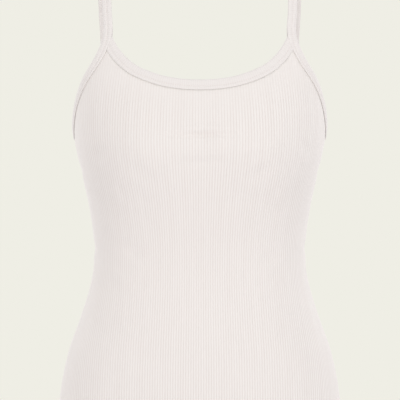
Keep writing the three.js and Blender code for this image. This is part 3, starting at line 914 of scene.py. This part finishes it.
def inside_rows(outside, level_count):
    """Rows of the inside at the heights of the outside's rows."""
    rows = []
    for i, (ribs, heights) in enumerate(outside):
        if i < level_count:
            narrower = ribs[-1] / BODY_RIBS
            rows.append((INSIDE_RIBS * narrower, np.full(len(INSIDE_RIBS), heights[0])))
        else:
            rows.append((INSIDE_RIBS, np.interp(INSIDE_RIBS, FULL_RIBS, heights)))
    return rows


def rib_across(reach, rib, height):
    return rib_distance(rib, section_value(RIBS, height), reach(height) - SEAM_GAP / 2)


def laid_out(name, rows):
    """All points of a panel's rows on the form: their measures, ribs, places, directions, creases, and
    distances to the folds of the neckline and the armhole."""
    cloth, reach, neck_rows, _ = panel_sides(name)
    rib = np.concatenate([row[0] for row in rows])
    height = np.concatenate([row[1] for row in rows])
    across = rib_across(reach, rib, height)
    around = across if name == "front" else from_other_middle(across, height)
    _, _, out = lie(cloth, across, height)
    base = cloth(across, height)
    on_right = base.copy()
    on_right[:, 0] = np.abs(base[:, 0])
    neck, length = path_through(both_halves(neck_rows))
    line, _, _ = beside(cloth, neck, length, np.linspace(length / 2, length, NECK_SAMPLES), 0, 0)
    to_neck = distances_to(line, on_right, height > NECK_LOW)
    arm, length = path_through(ARMHOLE)
    line, _, _ = beside(from_side, arm, length, np.linspace(0, length, ARM_SAMPLES), 0, 0)
    to_arm = distances_to(line, on_right, height > ARM_LOW)
    creases = crease_lift(around, height) * bpy.context.scene.tank_top_knit.crease_strength
    return {
        "rib": rib, "height": height, "across": across, "base": base, "out": out, "creases": creases,
        "to_seam": reach(height) - np.abs(across),
        "past_bindings": (to_neck - NECK_WIDTH, to_arm - STRAP_WIDTH),
    }


def outside_surface(laid):
    """Points of the outside, with the depth of their ribs and the strength of the painted shadow in the
    ditch beside each binding, as shares.
    """
    lift = laid["creases"]
    relief = np.ones(len(lift))
    ditch = np.zeros(len(lift))
    for past, dip in zip(laid["past_bindings"], (NECK_DIP, ARM_DIP)):
        lift = lift * soft_step(past / CALM)
        lift = lift - dip * bell(past - DIP_PLACE, DIP_WIDTH)
        lift = lift + SWELL * bell(past - SWELL_PLACE, SWELL_WIDTH)
        lift = np.where(past < 0, np.minimum(lift, UNDER_BINDING), lift)
        # Painted shadow in the ditch beside each binding
        ditch = np.maximum(ditch, dip * bell(past - DITCH_SHADOW_PLACE, DITCH_SHADOW_WIDTH))
        relief = relief * (RIB_LEAST + (1 - RIB_LEAST) * soft_step(past / RIB_FADE))
    seam = bell(laid["to_seam"], SEAM_WIDTH)
    swell = SEAM_SWELL * bell(laid["to_seam"] - SEAM_SWELL_PLACE, SEAM_SWELL_WIDTH)
    lift = lift - SEAM_DIP * seam + swell
    relief = relief * (1 - SEAM_FLATTENS * seam)
    over_hem = laid["height"] - HEM
    curl = np.clip(1 - over_hem / HEM_CURL, 0, 1)
    lift = lift - (1 - np.sqrt(1 - curl**2 * HEM_ROUND))
    relief = relief * soft_step(over_hem / HEM_RIB_FADE)
    for row in HEM_STITCH_ROWS:
        press = bell(laid["height"] - row, PRESS_WIDTH)
        lift = lift - PRESS_DEPTH * press
        relief = relief * (1 - PRESS_FLATTENS * press)
    return laid["base"] + laid["out"] * lift[:, None], relief, ditch


def inside_surface(laid):
    """Points of the inside, thicker where the hem is turned up."""
    over_hem = soft_step((laid["height"] - HEM - HEM_DEPTH) / HEM_SLOPE)
    lift = HEM_LIFT + (INSIDE_LIFT - HEM_LIFT) * over_hem
    edge = np.repeat(HEM_EDGE_LIFTS, len(INSIDE_RIBS))
    lift[: len(edge)] = edge
    creases = laid["creases"]
    for past in laid["past_bindings"]:
        creases = creases * soft_step(past / CALM)
    return laid["base"] + laid["out"] * (lift + np.minimum(creases, INSIDE_CREASE))[:, None]


def shell_faces(outside, inside):
    """Faces of the outside, the inside, and the rims along the hem, the top edge and the side seams."""
    starts = np.cumsum([0] + [len(row[0]) for row in outside]).tolist()
    faces = []
    for i in range(len(outside) - 1):
        one = range(starts[i], starts[i + 1])
        two = range(starts[i + 1], starts[i + 2])
        faces += zip_lines(one, outside[i][0], two, outside[i + 1][0])

    width = len(INSIDE_RIBS)
    first = [starts[-1] + i * width for i in range(len(inside))]
    for a, b in zip(first, first[1:]):
        faces += [(b + i, b + i + 1, a + i + 1, a + i) for i in range(width - 1)]

    bottom = range(first[0], first[0] + width)
    faces += zip_lines(bottom, inside[0][0], range(starts[1]), outside[0][0])
    top = range(first[-1], first[-1] + width)
    faces += zip_lines(range(starts[-2], starts[-1]), outside[-1][0], top, inside[-1][0])
    for i in range(len(inside) - 1):
        faces.append((first[i], starts[i], starts[i + 1], first[i + 1]))
        faces.append((starts[i + 1] - 1, first[i] + width - 1, first[i + 1] + width - 1, starts[i + 2] - 1))
    return faces


def make_panel(name):
    """A shell of rib knit with its hem turned up, as smooth points for the ribs to be pressed into, and
    its area as worn."""
    outside, level_count = outside_rows(name)
    inside = inside_rows(outside, level_count)
    outer, inner = laid_out(name, outside), laid_out(name, inside)
    outside_points, relief, ditch = outside_surface(outer)
    points = np.concatenate([outside_points, inside_surface(inner)])
    plain = np.zeros(len(inner["rib"]))
    uvs = np.concatenate([np.stack([laid["across"], laid["height"]], axis=1) for laid in (outer, inner)])
    attributes = {
        "rib": np.concatenate([outer["rib"], inner["rib"]]),
        "relief": np.concatenate([relief, plain]),
        # Painted shadow in the ditch beside the bindings, on the outside only
        "ditch": np.concatenate([ditch, plain]),
        "out": np.concatenate([outer["out"], inner["out"]]),
    }
    rough = make_object(f"{name}_rough", points, shell_faces(outside, inside), uvs, attributes)
    return rough, panel_area(outside, panel_sides(name)[1])


def panel_area(rows, reach):
    """Area of a panel as worn, in square millimetres, without its turned hem."""
    lengths = [(rib_across(reach, ribs, heights), heights) for ribs, heights in rows]
    area = 0.0
    for (across_a, height_a), (across_b, height_b) in zip(lengths, lengths[1:]):
        if len(across_a) != len(across_b):
            area += (across_a[-1] + across_b[-1]) * (height_b[0] - height_a[0])
        else:
            wide = np.gradient((across_a + across_b) / 2)
            area += float((wide * (height_b - height_a)).sum())
    return area


# Bindings
def binding_profile(width, groove, closed, raised):
    """Section of a folded binding, round its outline: distances past the fold, lifts, depth of ribs.

    Distances and lifts have a row for each station, because the groove and the fold may change along
    the way. The outline starts above the slot at the seam line, runs over the outer leaf and its
    groove to the fold, back along the inner leaf, and round the slot.
    """
    width, groove, closed, raised = np.broadcast_arrays(width, groove, closed, raised)
    bottom = LEAF_BOTTOM + (STRAP_BOTTOM - LEAF_BOTTOM) * closed
    slot_top = SLOT_TOP + (CLOSED_TOP - SLOT_TOP) * closed
    slot_bottom = SLOT_BOTTOM + (CLOSED_BOTTOM - SLOT_BOTTOM) * closed
    slot_end = SLOT_END + (0.5 - width - SLOT_END) * closed
    slot_middle = -width / 2 + (0.25 - width / 2) * closed
    top = LEAF_TOP
    ridge = (groove - 0.7 - width + 0.5) / 2
    field = (groove + 0.9 - 2.6) / 2
    outline = [
        (-width, slot_top + raised, 0.0),
        (-width - 0.02, (slot_top + top) / 2 - 0.15 + raised, 0.0),
        (-width + 0.12, top - 0.5 + raised, 0.3),
        (-width + 0.5, top - 0.18 + raised, 0.7),
        (ridge, top - 0.02 + raised, 1.0),
        (groove - 1.0, top - 0.1 + raised, 1.0),
        (groove - 0.5, top - 0.34 + raised, 0.6),
        (groove, top - 0.5 + raised, 0.3),
        (groove + 0.5, top - 0.34 + raised, 0.6),
        (groove + 1.0, top - 0.1 + raised, 1.0),
        (field, top + raised, 1.0),
        (-2.6, top - 0.06 + raised, 1.0),
        (-1.5, top - 0.32 + raised * 0.8, 0.9),
        (-0.7, top - 0.8 + raised * 0.6, 0.8),
        (-0.15, top - 1.5 + raised * 0.3, 0.7),
        (0.0, (top - 1.5) * 0.5 + (bottom + 1.3) * 0.5, 0.7),
        (-0.25, bottom + 1.0, 0.7),
        (-0.9, bottom + 0.4, 0.6),
        (-2.0, bottom + 0.08, 0.6),
        (field, bottom, 0.6),
        (groove + 0.8, bottom + 0.1, 0.5),
        (groove, bottom + 0.3, 0.3),
        (groove - 0.8, bottom + 0.1, 0.5),
        (-width + 0.6, bottom + 0.06, 0.5),
        (-width + 0.1, bottom + 0.35, 0.2),
        (-width, (bottom + slot_bottom) / 2 - 0.05, 0.0),
        (-width, slot_bottom, 0.0),
        (slot_middle, slot_bottom, 0.0),
        (slot_end, slot_bottom, 0.0),
        (slot_end, slot_top + raised * 0.3, 0.0),
        (slot_middle, slot_top + raised, 0.0),
    ]
    past = np.stack([row[0] + 0 * width for row in outline], axis=-1)
    lift = np.stack([row[1] + 0 * width for row in outline], axis=-1)
    return past, lift, np.array([row[2] for row in outline])


def even_profile(width, groove):
    """Section of a binding that stays the same along its way, at one station."""
    past, lift, relief = binding_profile([width], groove, 0.0, 0.0)
    return past[0], lift[0], relief


def profile_normals(past, lift):
    """Way out of each point of a section, in the section's own plane."""
    past_step = np.roll(past, -1, -1) - np.roll(past, 1, -1)
    lift_step = np.roll(lift, -1, -1) - np.roll(lift, 1, -1)
    return unit(np.stack([-lift_step, past_step], axis=-1))


def strap_frames(s, run):
    """Middle of the right strap and its directions at distances along it."""
    rows = np.asarray(STRAP, float)
    middle = smooth(run, rows[:, :3], s)
    tilt = np.radians(smooth(run, rows[:, 3], s))
    inside = np.clip(s, NEAR, run[-1] - NEAR)
    along = unit(smooth(run, rows[:, :3], inside + NEAR) - smooth(run, rows[:, :3], inside - NEAR))
    level = unit(np.stack([0 * s, along[:, 2], -along[:, 1]], axis=-1))
    out = level * np.cos(tilt)[:, None]
    out[:, 0] += np.sin(tilt)
    past = unit(np.cross(out, along))
    lift = np.cross(along, past)
    return middle + past * (STRAP_WIDTH / 2), past, lift


# Coarse steps along the loop, the length over which its slot closes at a tip, places of the grooves,
# where the loop's groove moves over, and where it is raised over the neck binding's end
ARM_STEP = 2.5
SHOULDER_STEP = 5.0
CLOSE_OVER = 7.5
GROOVE_ON_STRAP = -5.6
GROOVE_ON_ARMHOLE = -7.9
GROOVE_ON_NECK = -8.7
GROOVE_SHIFT_FROM = 4.0
GROOVE_SHIFT_OVER = 26.0
JOINT_PLACE = 10.0
JOINT_SPREAD = 9.0


def loop_rings():
    """Coarse rings of the right armhole binding and strap: from the front tip under the arm to the
    back tip, then over the shoulder. Each is points and ways out, with the middle of the ring and its
    direction past the fold."""
    arm, arm_length = path_through(ARMHOLE)
    count = round(arm_length / ARM_STEP)
    s = np.linspace(0, arm_length, count + 1)
    from_tip = np.minimum(s, arm_length - s)
    closed = 1 - soft_step(from_tip / CLOSE_OVER)
    shift = soft_step((from_tip - GROOVE_SHIFT_FROM) / GROOVE_SHIFT_OVER)
    groove = GROOVE_ON_STRAP + (GROOVE_ON_ARMHOLE - GROOVE_ON_STRAP) * shift
    raised = JOINT_RAISE * bell(from_tip - JOINT_PLACE, JOINT_SPREAD)
    past, lift, relief = binding_profile(STRAP_WIDTH, groove, closed, raised)
    points, past_way, out = beside(from_side, arm, arm_length, s[:, None], past, lift)
    _, _, fold_past, _ = station(from_side, arm, arm_length, s)
    fold, _, _ = beside(from_side, arm, arm_length, s, -STRAP_WIDTH / 2, 0)
    normals = profile_normals(past, lift)
    ways = unit(past_way * normals[..., :1] + out * normals[..., 1:])

    rows = np.asarray(STRAP, float)
    run = np.concatenate([[0], np.cumsum(np.linalg.norm(np.diff(rows[:, :3], axis=0), axis=1))])
    count = round(run[-1] / SHOULDER_STEP)
    t = np.linspace(0, run[-1], count + 1)
    corner, strap_past, strap_lift = strap_frames(t, run)
    past, lift, _ = binding_profile(STRAP_WIDTH, GROOVE_ON_STRAP, 1.0, 0 * t)
    strap_points = corner[:, None, :] + strap_past[:, None, :] * past[..., None]
    strap_points += strap_lift[:, None, :] * lift[..., None]
    normals = profile_normals(past, lift)
    strap_ways = unit(strap_past[:, None, :] * normals[..., :1] + strap_lift[:, None, :] * normals[..., 1:])
    middle = corner - strap_past * (STRAP_WIDTH / 2)
    return {
        "points": np.concatenate([points, strap_points]),
        "ways": np.concatenate([ways, strap_ways]),
        "middle": np.concatenate([fold, middle]),
        "past": np.concatenate([fold_past, strap_past]),
        "relief": relief,
    }


def fine_loop(rings, step):
    """The loop's rings at an even fine step, by a smooth curve through the coarse ones."""
    middle = rings["middle"]
    around = np.concatenate([middle, middle[:1]])
    run = np.concatenate([[0], np.cumsum(np.linalg.norm(np.diff(around, axis=0), axis=1))])
    whole = run[-1]
    count = round(whole / step)
    s = np.arange(count) * whole / count
    knots = np.concatenate([run[-3:-1] - whole, run[:-1], whole + run[:2]])

    def read(name):
        values = rings[name]
        return smooth(knots, np.concatenate([values[-2:], values, values[:2]]), s)

    fine = {name: read(name) for name in ("points", "ways", "middle", "past")}
    fine["ways"] = unit(fine["ways"])
    fine["relief"] = rings["relief"]
    fine["s"] = s
    fine["whole"] = whole
    return fine


def tube_faces(stations, width, closed):
    """Quads between rings of points that are stored one ring after another."""
    bands = stations if closed else stations - 1
    here = (np.arange(bands)[:, None] * width + np.arange(width)[None, :]).ravel()
    nxt = (np.arange(bands)[:, None] * width + (np.arange(width)[None, :] + 1) % width).ravel()
    total = stations * width
    return np.stack([here, (here + width) % total, (nxt + width) % total, nxt], axis=1).tolist()


def faces_out(points, faces):
    """The faces, all turned round if they enclose less than nothing."""
    volume = 0.0
    for face in faces:
        a = points[face[0]]
        for i in range(1, len(face) - 1):
            volume += float(np.dot(a, np.cross(points[face[i]], points[face[i + 1]])))
    if volume < 0:
        return [tuple(face[::-1]) for face in faces]
    return faces


def mirrored(points):
    copy = np.array(points)
    copy[..., 0] = -copy[..., 0]
    return copy


def binding_object(name, points, ways, s, across, relief, closed, caps, flip):
    """Shell of a binding from rings of points. Distances along it are one for each ring if it closes on
    itself, and one for each point otherwise."""
    stations, width = points.shape[:2]
    faces = tube_faces(stations, width, closed)
    last = (stations - 1) * width
    for a, b, c in caps:
        faces.append((a, b, c))
        faces.append((last + a, last + c, last + b))
    if flip:
        points = mirrored(points)
        ways = mirrored(ways)
        faces = [tuple(face[::-1]) for face in faces]
    pitch = bpy.context.scene.tank_top_binding.rib_pitch / MM
    if closed:
        rib = np.repeat(s / s[-1] * round(s[-1] / pitch), width)
        s = np.repeat(s, width)
    else:
        rib = (s / pitch).ravel()
        s = s.ravel()
    uvs = np.stack([np.tile(across, stations), s], axis=1)
    attributes = {"rib": rib, "relief": np.tile(relief, stations), "out": ways.reshape(-1, 3)}
    points = points.reshape(-1, 3)
    return make_object(f"{name}_rough", points, faces_out(points, faces), uvs, attributes)


def dressed(rough, name, material, depth):
    """The rough shell with its ribs pressed in and its material on, as the named object."""
    label = f"Rib relief {material}"
    tree = bpy.data.node_groups.get(label) or rib_tree(label, material_named(material))
    roundness = bpy.context.scene.tank_top_knit.rib_roundness
    return with_tree(rough, tree, {"Rib depth": depth, "Roundness": roundness}, name)


# Where a neck binding can meet the strap binding: between two heights, and within a reach of it
MEETS_FROM = -200
MEETS_TO = -95
MEETS_WITHIN = 12
MEETS_SAMPLES = 600
OVERLAP = 0.06


def neck_rings(name):
    """Rings of a neck binding. Each line of it ends where it meets the strap binding that passes over."""
    strap = strap_loop()
    cloth, _, rows, _ = panel_sides(name)
    path, length = path_through(both_halves(rows))
    past, lift, relief = even_profile(NECK_WIDTH, GROOVE_ON_NECK)

    # Inner edge of the strap binding, near the end of this neckline
    edge = strap["middle"] - strap["past"] * (STRAP_WIDTH / 2 + OVERLAP)
    on_front = edge[:, 1] < 0
    near = (edge[:, 2] > MEETS_FROM) & (edge[:, 2] < MEETS_TO) & (on_front == (name == "front"))
    edge = edge[near]
    edge_past = strap["past"][near]
    trial = np.linspace(length / 2, length, MEETS_SAMPLES)
    ends = []
    for distance in past:
        line, _, _ = beside(cloth, path, length, trial, distance + 0 * trial, 0 * trial)
        gap = np.linalg.norm(line[:, None, :] - edge[None, :, :], axis=2)
        nearest = gap.argmin(axis=1)
        depth = ((line - edge[nearest]) * edge_past[nearest]).sum(axis=1)
        met = np.nonzero((depth > 0) & (gap.min(axis=1) < MEETS_WITHIN))[0]
        ends.append(trial[met[0]] if len(met) else length)
    ends = np.array(ends)

    count = round(length / 2 / (bpy.context.scene.tank_top_binding.step / MM))
    share = np.linspace(-1, 1, 2 * count + 1)[:, None]
    s = length / 2 + share * (ends[None, :] - length / 2)
    points, past_way, out = beside(cloth, path, length, s, past[None, :], lift[None, :])
    normals = profile_normals(past[None, :], lift[None, :])
    ways = unit(past_way * normals[..., :1] + out * normals[..., 1:])
    return points, ways, s, past, lift, relief


def profile_across(past, lift):
    """Distance round a section, for the second direction of the cloth's own coordinates."""
    steps = np.hypot(np.diff(past), np.diff(lift))
    return np.concatenate([[0], np.cumsum(steps)])


def guide_object(name, lines):
    """Lines for stitches: each is its points, its ways out, and whether it closes on itself."""
    points, outs, edges = [], [], []
    start = 0
    for line, out, closed in lines:
        count = len(line)
        points.append(line)
        outs.append(out)
        edges += [(start + i, start + i + 1) for i in range(count - 1)]
        if closed:
            edges.append((start + count - 1, start))
        start += count
    mesh = bpy.data.meshes.new(name)
    mesh.from_pydata((np.concatenate(points) * MM).tolist(), edges, [])
    store = mesh.attributes.new("out", "FLOAT_VECTOR", "POINT")
    store.data.foreach_set("vector", np.concatenate(outs).astype(np.float32).ravel())
    made = bpy.data.objects.new(name, mesh)
    bpy.context.scene.collection.objects.link(made)
    return made


def stitched(guide, name):
    sizes = bpy.context.scene.tank_top_thread
    tree = bpy.data.node_groups.get("Stitch row") or stitch_tree(material_named("cotton_thread"))
    inputs = {"Pitch": sizes.pitch, "Length": sizes.length, "Width": sizes.width}
    return with_tree(guide, tree, inputs, name)


# Stitches: number of the section's point that lies in the groove, how far their middles are sunk, how
# many rings stay free at a neck binding's ends, and places along the hem
GROOVE_POINT = 7
GROOVE_SINK = 0.02
HEM_SINK = 0.5
FREE_ENDS = 6
HEM_SAMPLES = 900


def strap_loop():
    """The right armhole binding and strap at its fine step, worked out once."""
    if "loop" not in FORM:
        FORM["loop"] = fine_loop(loop_rings(), bpy.context.scene.tank_top_binding.step / MM)
    return FORM["loop"]


class TANKTOP_OT_panels(bpy.types.Operator):
    """Make the front and back panels of rib knit"""

    bl_idname = "tank_top.panels"
    bl_label = "Panels"

    def execute(self, context):
        depth = context.scene.tank_top_knit.rib_depth
        for name, reach in (("front", front_reach), ("back", back_reach)):
            rough, area = make_panel(name)
            piece = dressed(rough, f"{name}_shell", "ribbed_cotton", depth)
            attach(piece, "root")
            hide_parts(f"{name}_panel")
            wide = 2 * float(reach(HEM)) / STRETCH + 2 * SEAM_ALLOWANCE
        return {"FINISHED"}


class TANKTOP_OT_neck_bindings(bpy.types.Operator):
    """Make the folded bindings of the front and back necklines"""

    bl_idname = "tank_top.neck_bindings"
    bl_label = "Neck bindings"

    def execute(self, context):
        sizes = context.scene.tank_top_binding
        for name in ("front", "back"):
            points, ways, s, past, lift, relief = neck_rings(name)
            outline = [Vector((a, b, 0)) for a, b in zip(past, lift)]
            caps = tessellate_polygon([outline])
            across = profile_across(past, lift)
            rough = binding_object(name + "_neck", points, ways, s, across, relief, False, caps, False)
            piece = dressed(rough, f"neck_{name}_fold", "binding_cotton", sizes.rib_depth)
            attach(piece, "root")
            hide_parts(f"neck_binding_{name}")
        return {"FINISHED"}


class TANKTOP_OT_straps(bpy.types.Operator):
    """Make the armhole bindings that run on over the shoulders as straps"""

    bl_idname = "tank_top.straps"
    bl_label = "Armhole bindings and straps"

    def execute(self, context):
        depth = context.scene.tank_top_binding.rib_depth
        loop = strap_loop()
        past, lift, _ = even_profile(STRAP_WIDTH, GROOVE_ON_ARMHOLE)
        across = profile_across(past, lift)
        for side, flip in (("right", False), ("left", True)):
            points, ways, s = loop["points"], loop["ways"], loop["s"]
            rough = binding_object(
                side + "_strap", points, ways, s, across, loop["relief"], True, [], flip
            )
            piece = dressed(rough, f"strap_{side}_fold", "binding_cotton", depth)
            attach(piece, "root")
            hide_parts(f"strap_binding_{side}")
        return {"FINISHED"}


class TANKTOP_OT_stitches(bpy.types.Operator):
    """Make the rows of stitches on the bindings, the straps and the hem"""

    bl_idname = "tank_top.stitches"
    bl_label = "Stitches"

    def execute(self, context):
        loop = strap_loop()
        out = loop["ways"][:, GROOVE_POINT]
        line = loop["points"][:, GROOVE_POINT] - out * GROOVE_SINK
        lines = [(line, out, True), (mirrored(line), mirrored(out), True)]
        for name in ("front", "back"):
            points, ways, _, _, _, _ = neck_rings(name)
            out = ways[FREE_ENDS:-FREE_ENDS, GROOVE_POINT]
            lines.append((points[FREE_ENDS:-FREE_ENDS, GROOVE_POINT] - out * GROOVE_SINK, out, False))
        for height in HEM_STITCH_ROWS:
            whole = float(form_value("whole", height))
            around = np.linspace(-whole, whole, HEM_SAMPLES)[:-1]
            level = np.full(len(around), height)
            _, _, out = lie(from_front, around, level)
            lines.append((from_front(around, level) - out * HEM_SINK, out, True))
        piece = stitched(guide_object("stitch_guides", lines), "stitches")
        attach(piece, "root")
        return {"FINISHED"}


# Soft lights: name, place, power by its property, and colour
LIGHTS = (
    ("key", (1.15, -2.46, 0.94), "key_power", (1.0, 1.0, 1.0)),
    ("fill", (-0.96, -2.65, 0.7), "fill_power", (1.0, 0.985, 0.95)),
    ("right_edge", (2.3, 1.9, 0.6), "edge_power", (1.0, 1.0, 1.0)),
    ("left_edge", (-2.3, 1.9, 0.6), "edge_power", (1.0, 1.0, 1.0)),
)
LIGHT_SIZE = 1.4
LIGHT_AIM = (0, 0, -0.33)
FLOOR_RADIUS = 3.0

# Camera, level in front of the middle of what the photo shows
CAMERA_ACROSS = 0.00024
CAMERA_HEIGHT = -0.336
SENSOR_WIDTH = 36.0
FOCAL_LENGTH = 190.7


class TANKTOP_OT_stage(bpy.types.Operator):
    """Make the floor, the soft lights, the studio's colour and the camera"""

    bl_idname = "tank_top.stage"
    bl_label = "Studio"

    def execute(self, context):
        scene = context.scene
        sizes = scene.tank_top_stage
        bpy.ops.mesh.primitive_circle_add(
            vertices=96, radius=FLOOR_RADIUS, fill_type="NGON", location=(0, 0, sizes.floor_height)
        )
        floor = context.object
        floor.name = "floor"
        material, _, shader = new_material("floor")
        shader.inputs["Base Color"].default_value = sizes.floor_colour[:]
        shader.inputs["Roughness"].default_value = 0.9
        floor.data.materials.append(material)

        scene.world = studio_world(sizes.background[:], sizes.ambient[:])
        scene.view_settings.view_transform = "Standard"

        for name, place, power, colour in LIGHTS:
            soft_light(name, place, getattr(sizes, power), colour)

        lens = bpy.data.cameras.new("camera")
        lens.sensor_width = SENSOR_WIDTH
        lens.lens = FOCAL_LENGTH
        camera = bpy.data.objects.new("camera", lens)
        camera.location = (CAMERA_ACROSS, -sizes.camera_distance, CAMERA_HEIGHT)
        camera.rotation_euler = (math.pi / 2, 0, 0)
        scene.collection.objects.link(camera)
        scene.camera = camera
        return {"FINISHED"}


def studio_world(background, ambient):
    """A studio that shows one plain colour behind the object and lights it evenly with another."""
    world = bpy.data.worlds.new("studio")
    world.use_nodes = True
    tree = world.node_tree
    tree.nodes.clear()
    nodes = Nodes(tree)
    seen = nodes.add("ShaderNodeBackground", {"Color": background})
    light = nodes.add("ShaderNodeBackground", {"Color": ambient})
    path = nodes.add("ShaderNodeLightPath").outputs["Is Camera Ray"]
    mix = nodes.add("ShaderNodeMixShader", {0: path, 1: light.outputs[0], 2: seen.outputs[0]})
    nodes.add("ShaderNodeOutputWorld", {"Surface": mix.outputs[0]})
    return world


def soft_light(name, place, power, colour):
    data = bpy.data.lights.new(name, "AREA")
    data.shape = "DISK"
    data.size = LIGHT_SIZE
    data.energy = power
    data.color = colour
    light = bpy.data.objects.new(name, data)
    light.location = place
    aim = Vector(LIGHT_AIM) - Vector(place)
    light.rotation_euler = aim.to_track_quat("-Z", "Y").to_euler()
    bpy.context.scene.collection.objects.link(light)


class TANKTOP_PT_sidebar(bpy.types.Panel):
    """Sizes, colours and steps of the tank top"""

    bl_idname = "TANKTOP_PT_sidebar"
    bl_label = "Tank Top"
    bl_space_type = "VIEW_3D"
    bl_region_type = "UI"
    bl_category = "Tank Top"

    def draw(self, context):
        for group in GROUPS:
            box = self.layout.box()
            box.label(text=group.__doc__)
            for name in group.__annotations__:
                box.prop(getattr(context.scene, GROUPS[group]), name)
        for operator in OPERATORS:
            self.layout.operator(operator.bl_idname)


GROUPS = {
    TANKTOP_PG_knit: "tank_top_knit",
    TANKTOP_PG_binding: "tank_top_binding",
    TANKTOP_PG_thread: "tank_top_thread",
    TANKTOP_PG_colours_and_painted_shade: "tank_top_finish",
    TANKTOP_PG_stage: "tank_top_stage",
}
OPERATORS = (
    TANKTOP_OT_panels,
    TANKTOP_OT_neck_bindings,
    TANKTOP_OT_straps,
    TANKTOP_OT_stitches,
    TANKTOP_OT_stage,
)


def register():
    for group, name in GROUPS.items():
        bpy.utils.register_class(group)
        setattr(bpy.types.Scene, name, bpy.props.PointerProperty(type=group))
    for operator in OPERATORS:
        bpy.utils.register_class(operator)
    bpy.utils.register_class(TANKTOP_PT_sidebar)


def unregister():
    bpy.utils.unregister_class(TANKTOP_PT_sidebar)
    for operator in reversed(OPERATORS):
        bpy.utils.unregister_class(operator)
    for group, name in reversed(GROUPS.items()):
        delattr(bpy.types.Scene, name)
        bpy.utils.unregister_class(group)


def main():
    register()
    bpy.ops.tank_top.panels()
    bpy.ops.tank_top.neck_bindings()
    bpy.ops.tank_top.straps()
    bpy.ops.tank_top.stitches()
    bpy.ops.tank_top.stage()


if __name__ == "__main__":
    main()
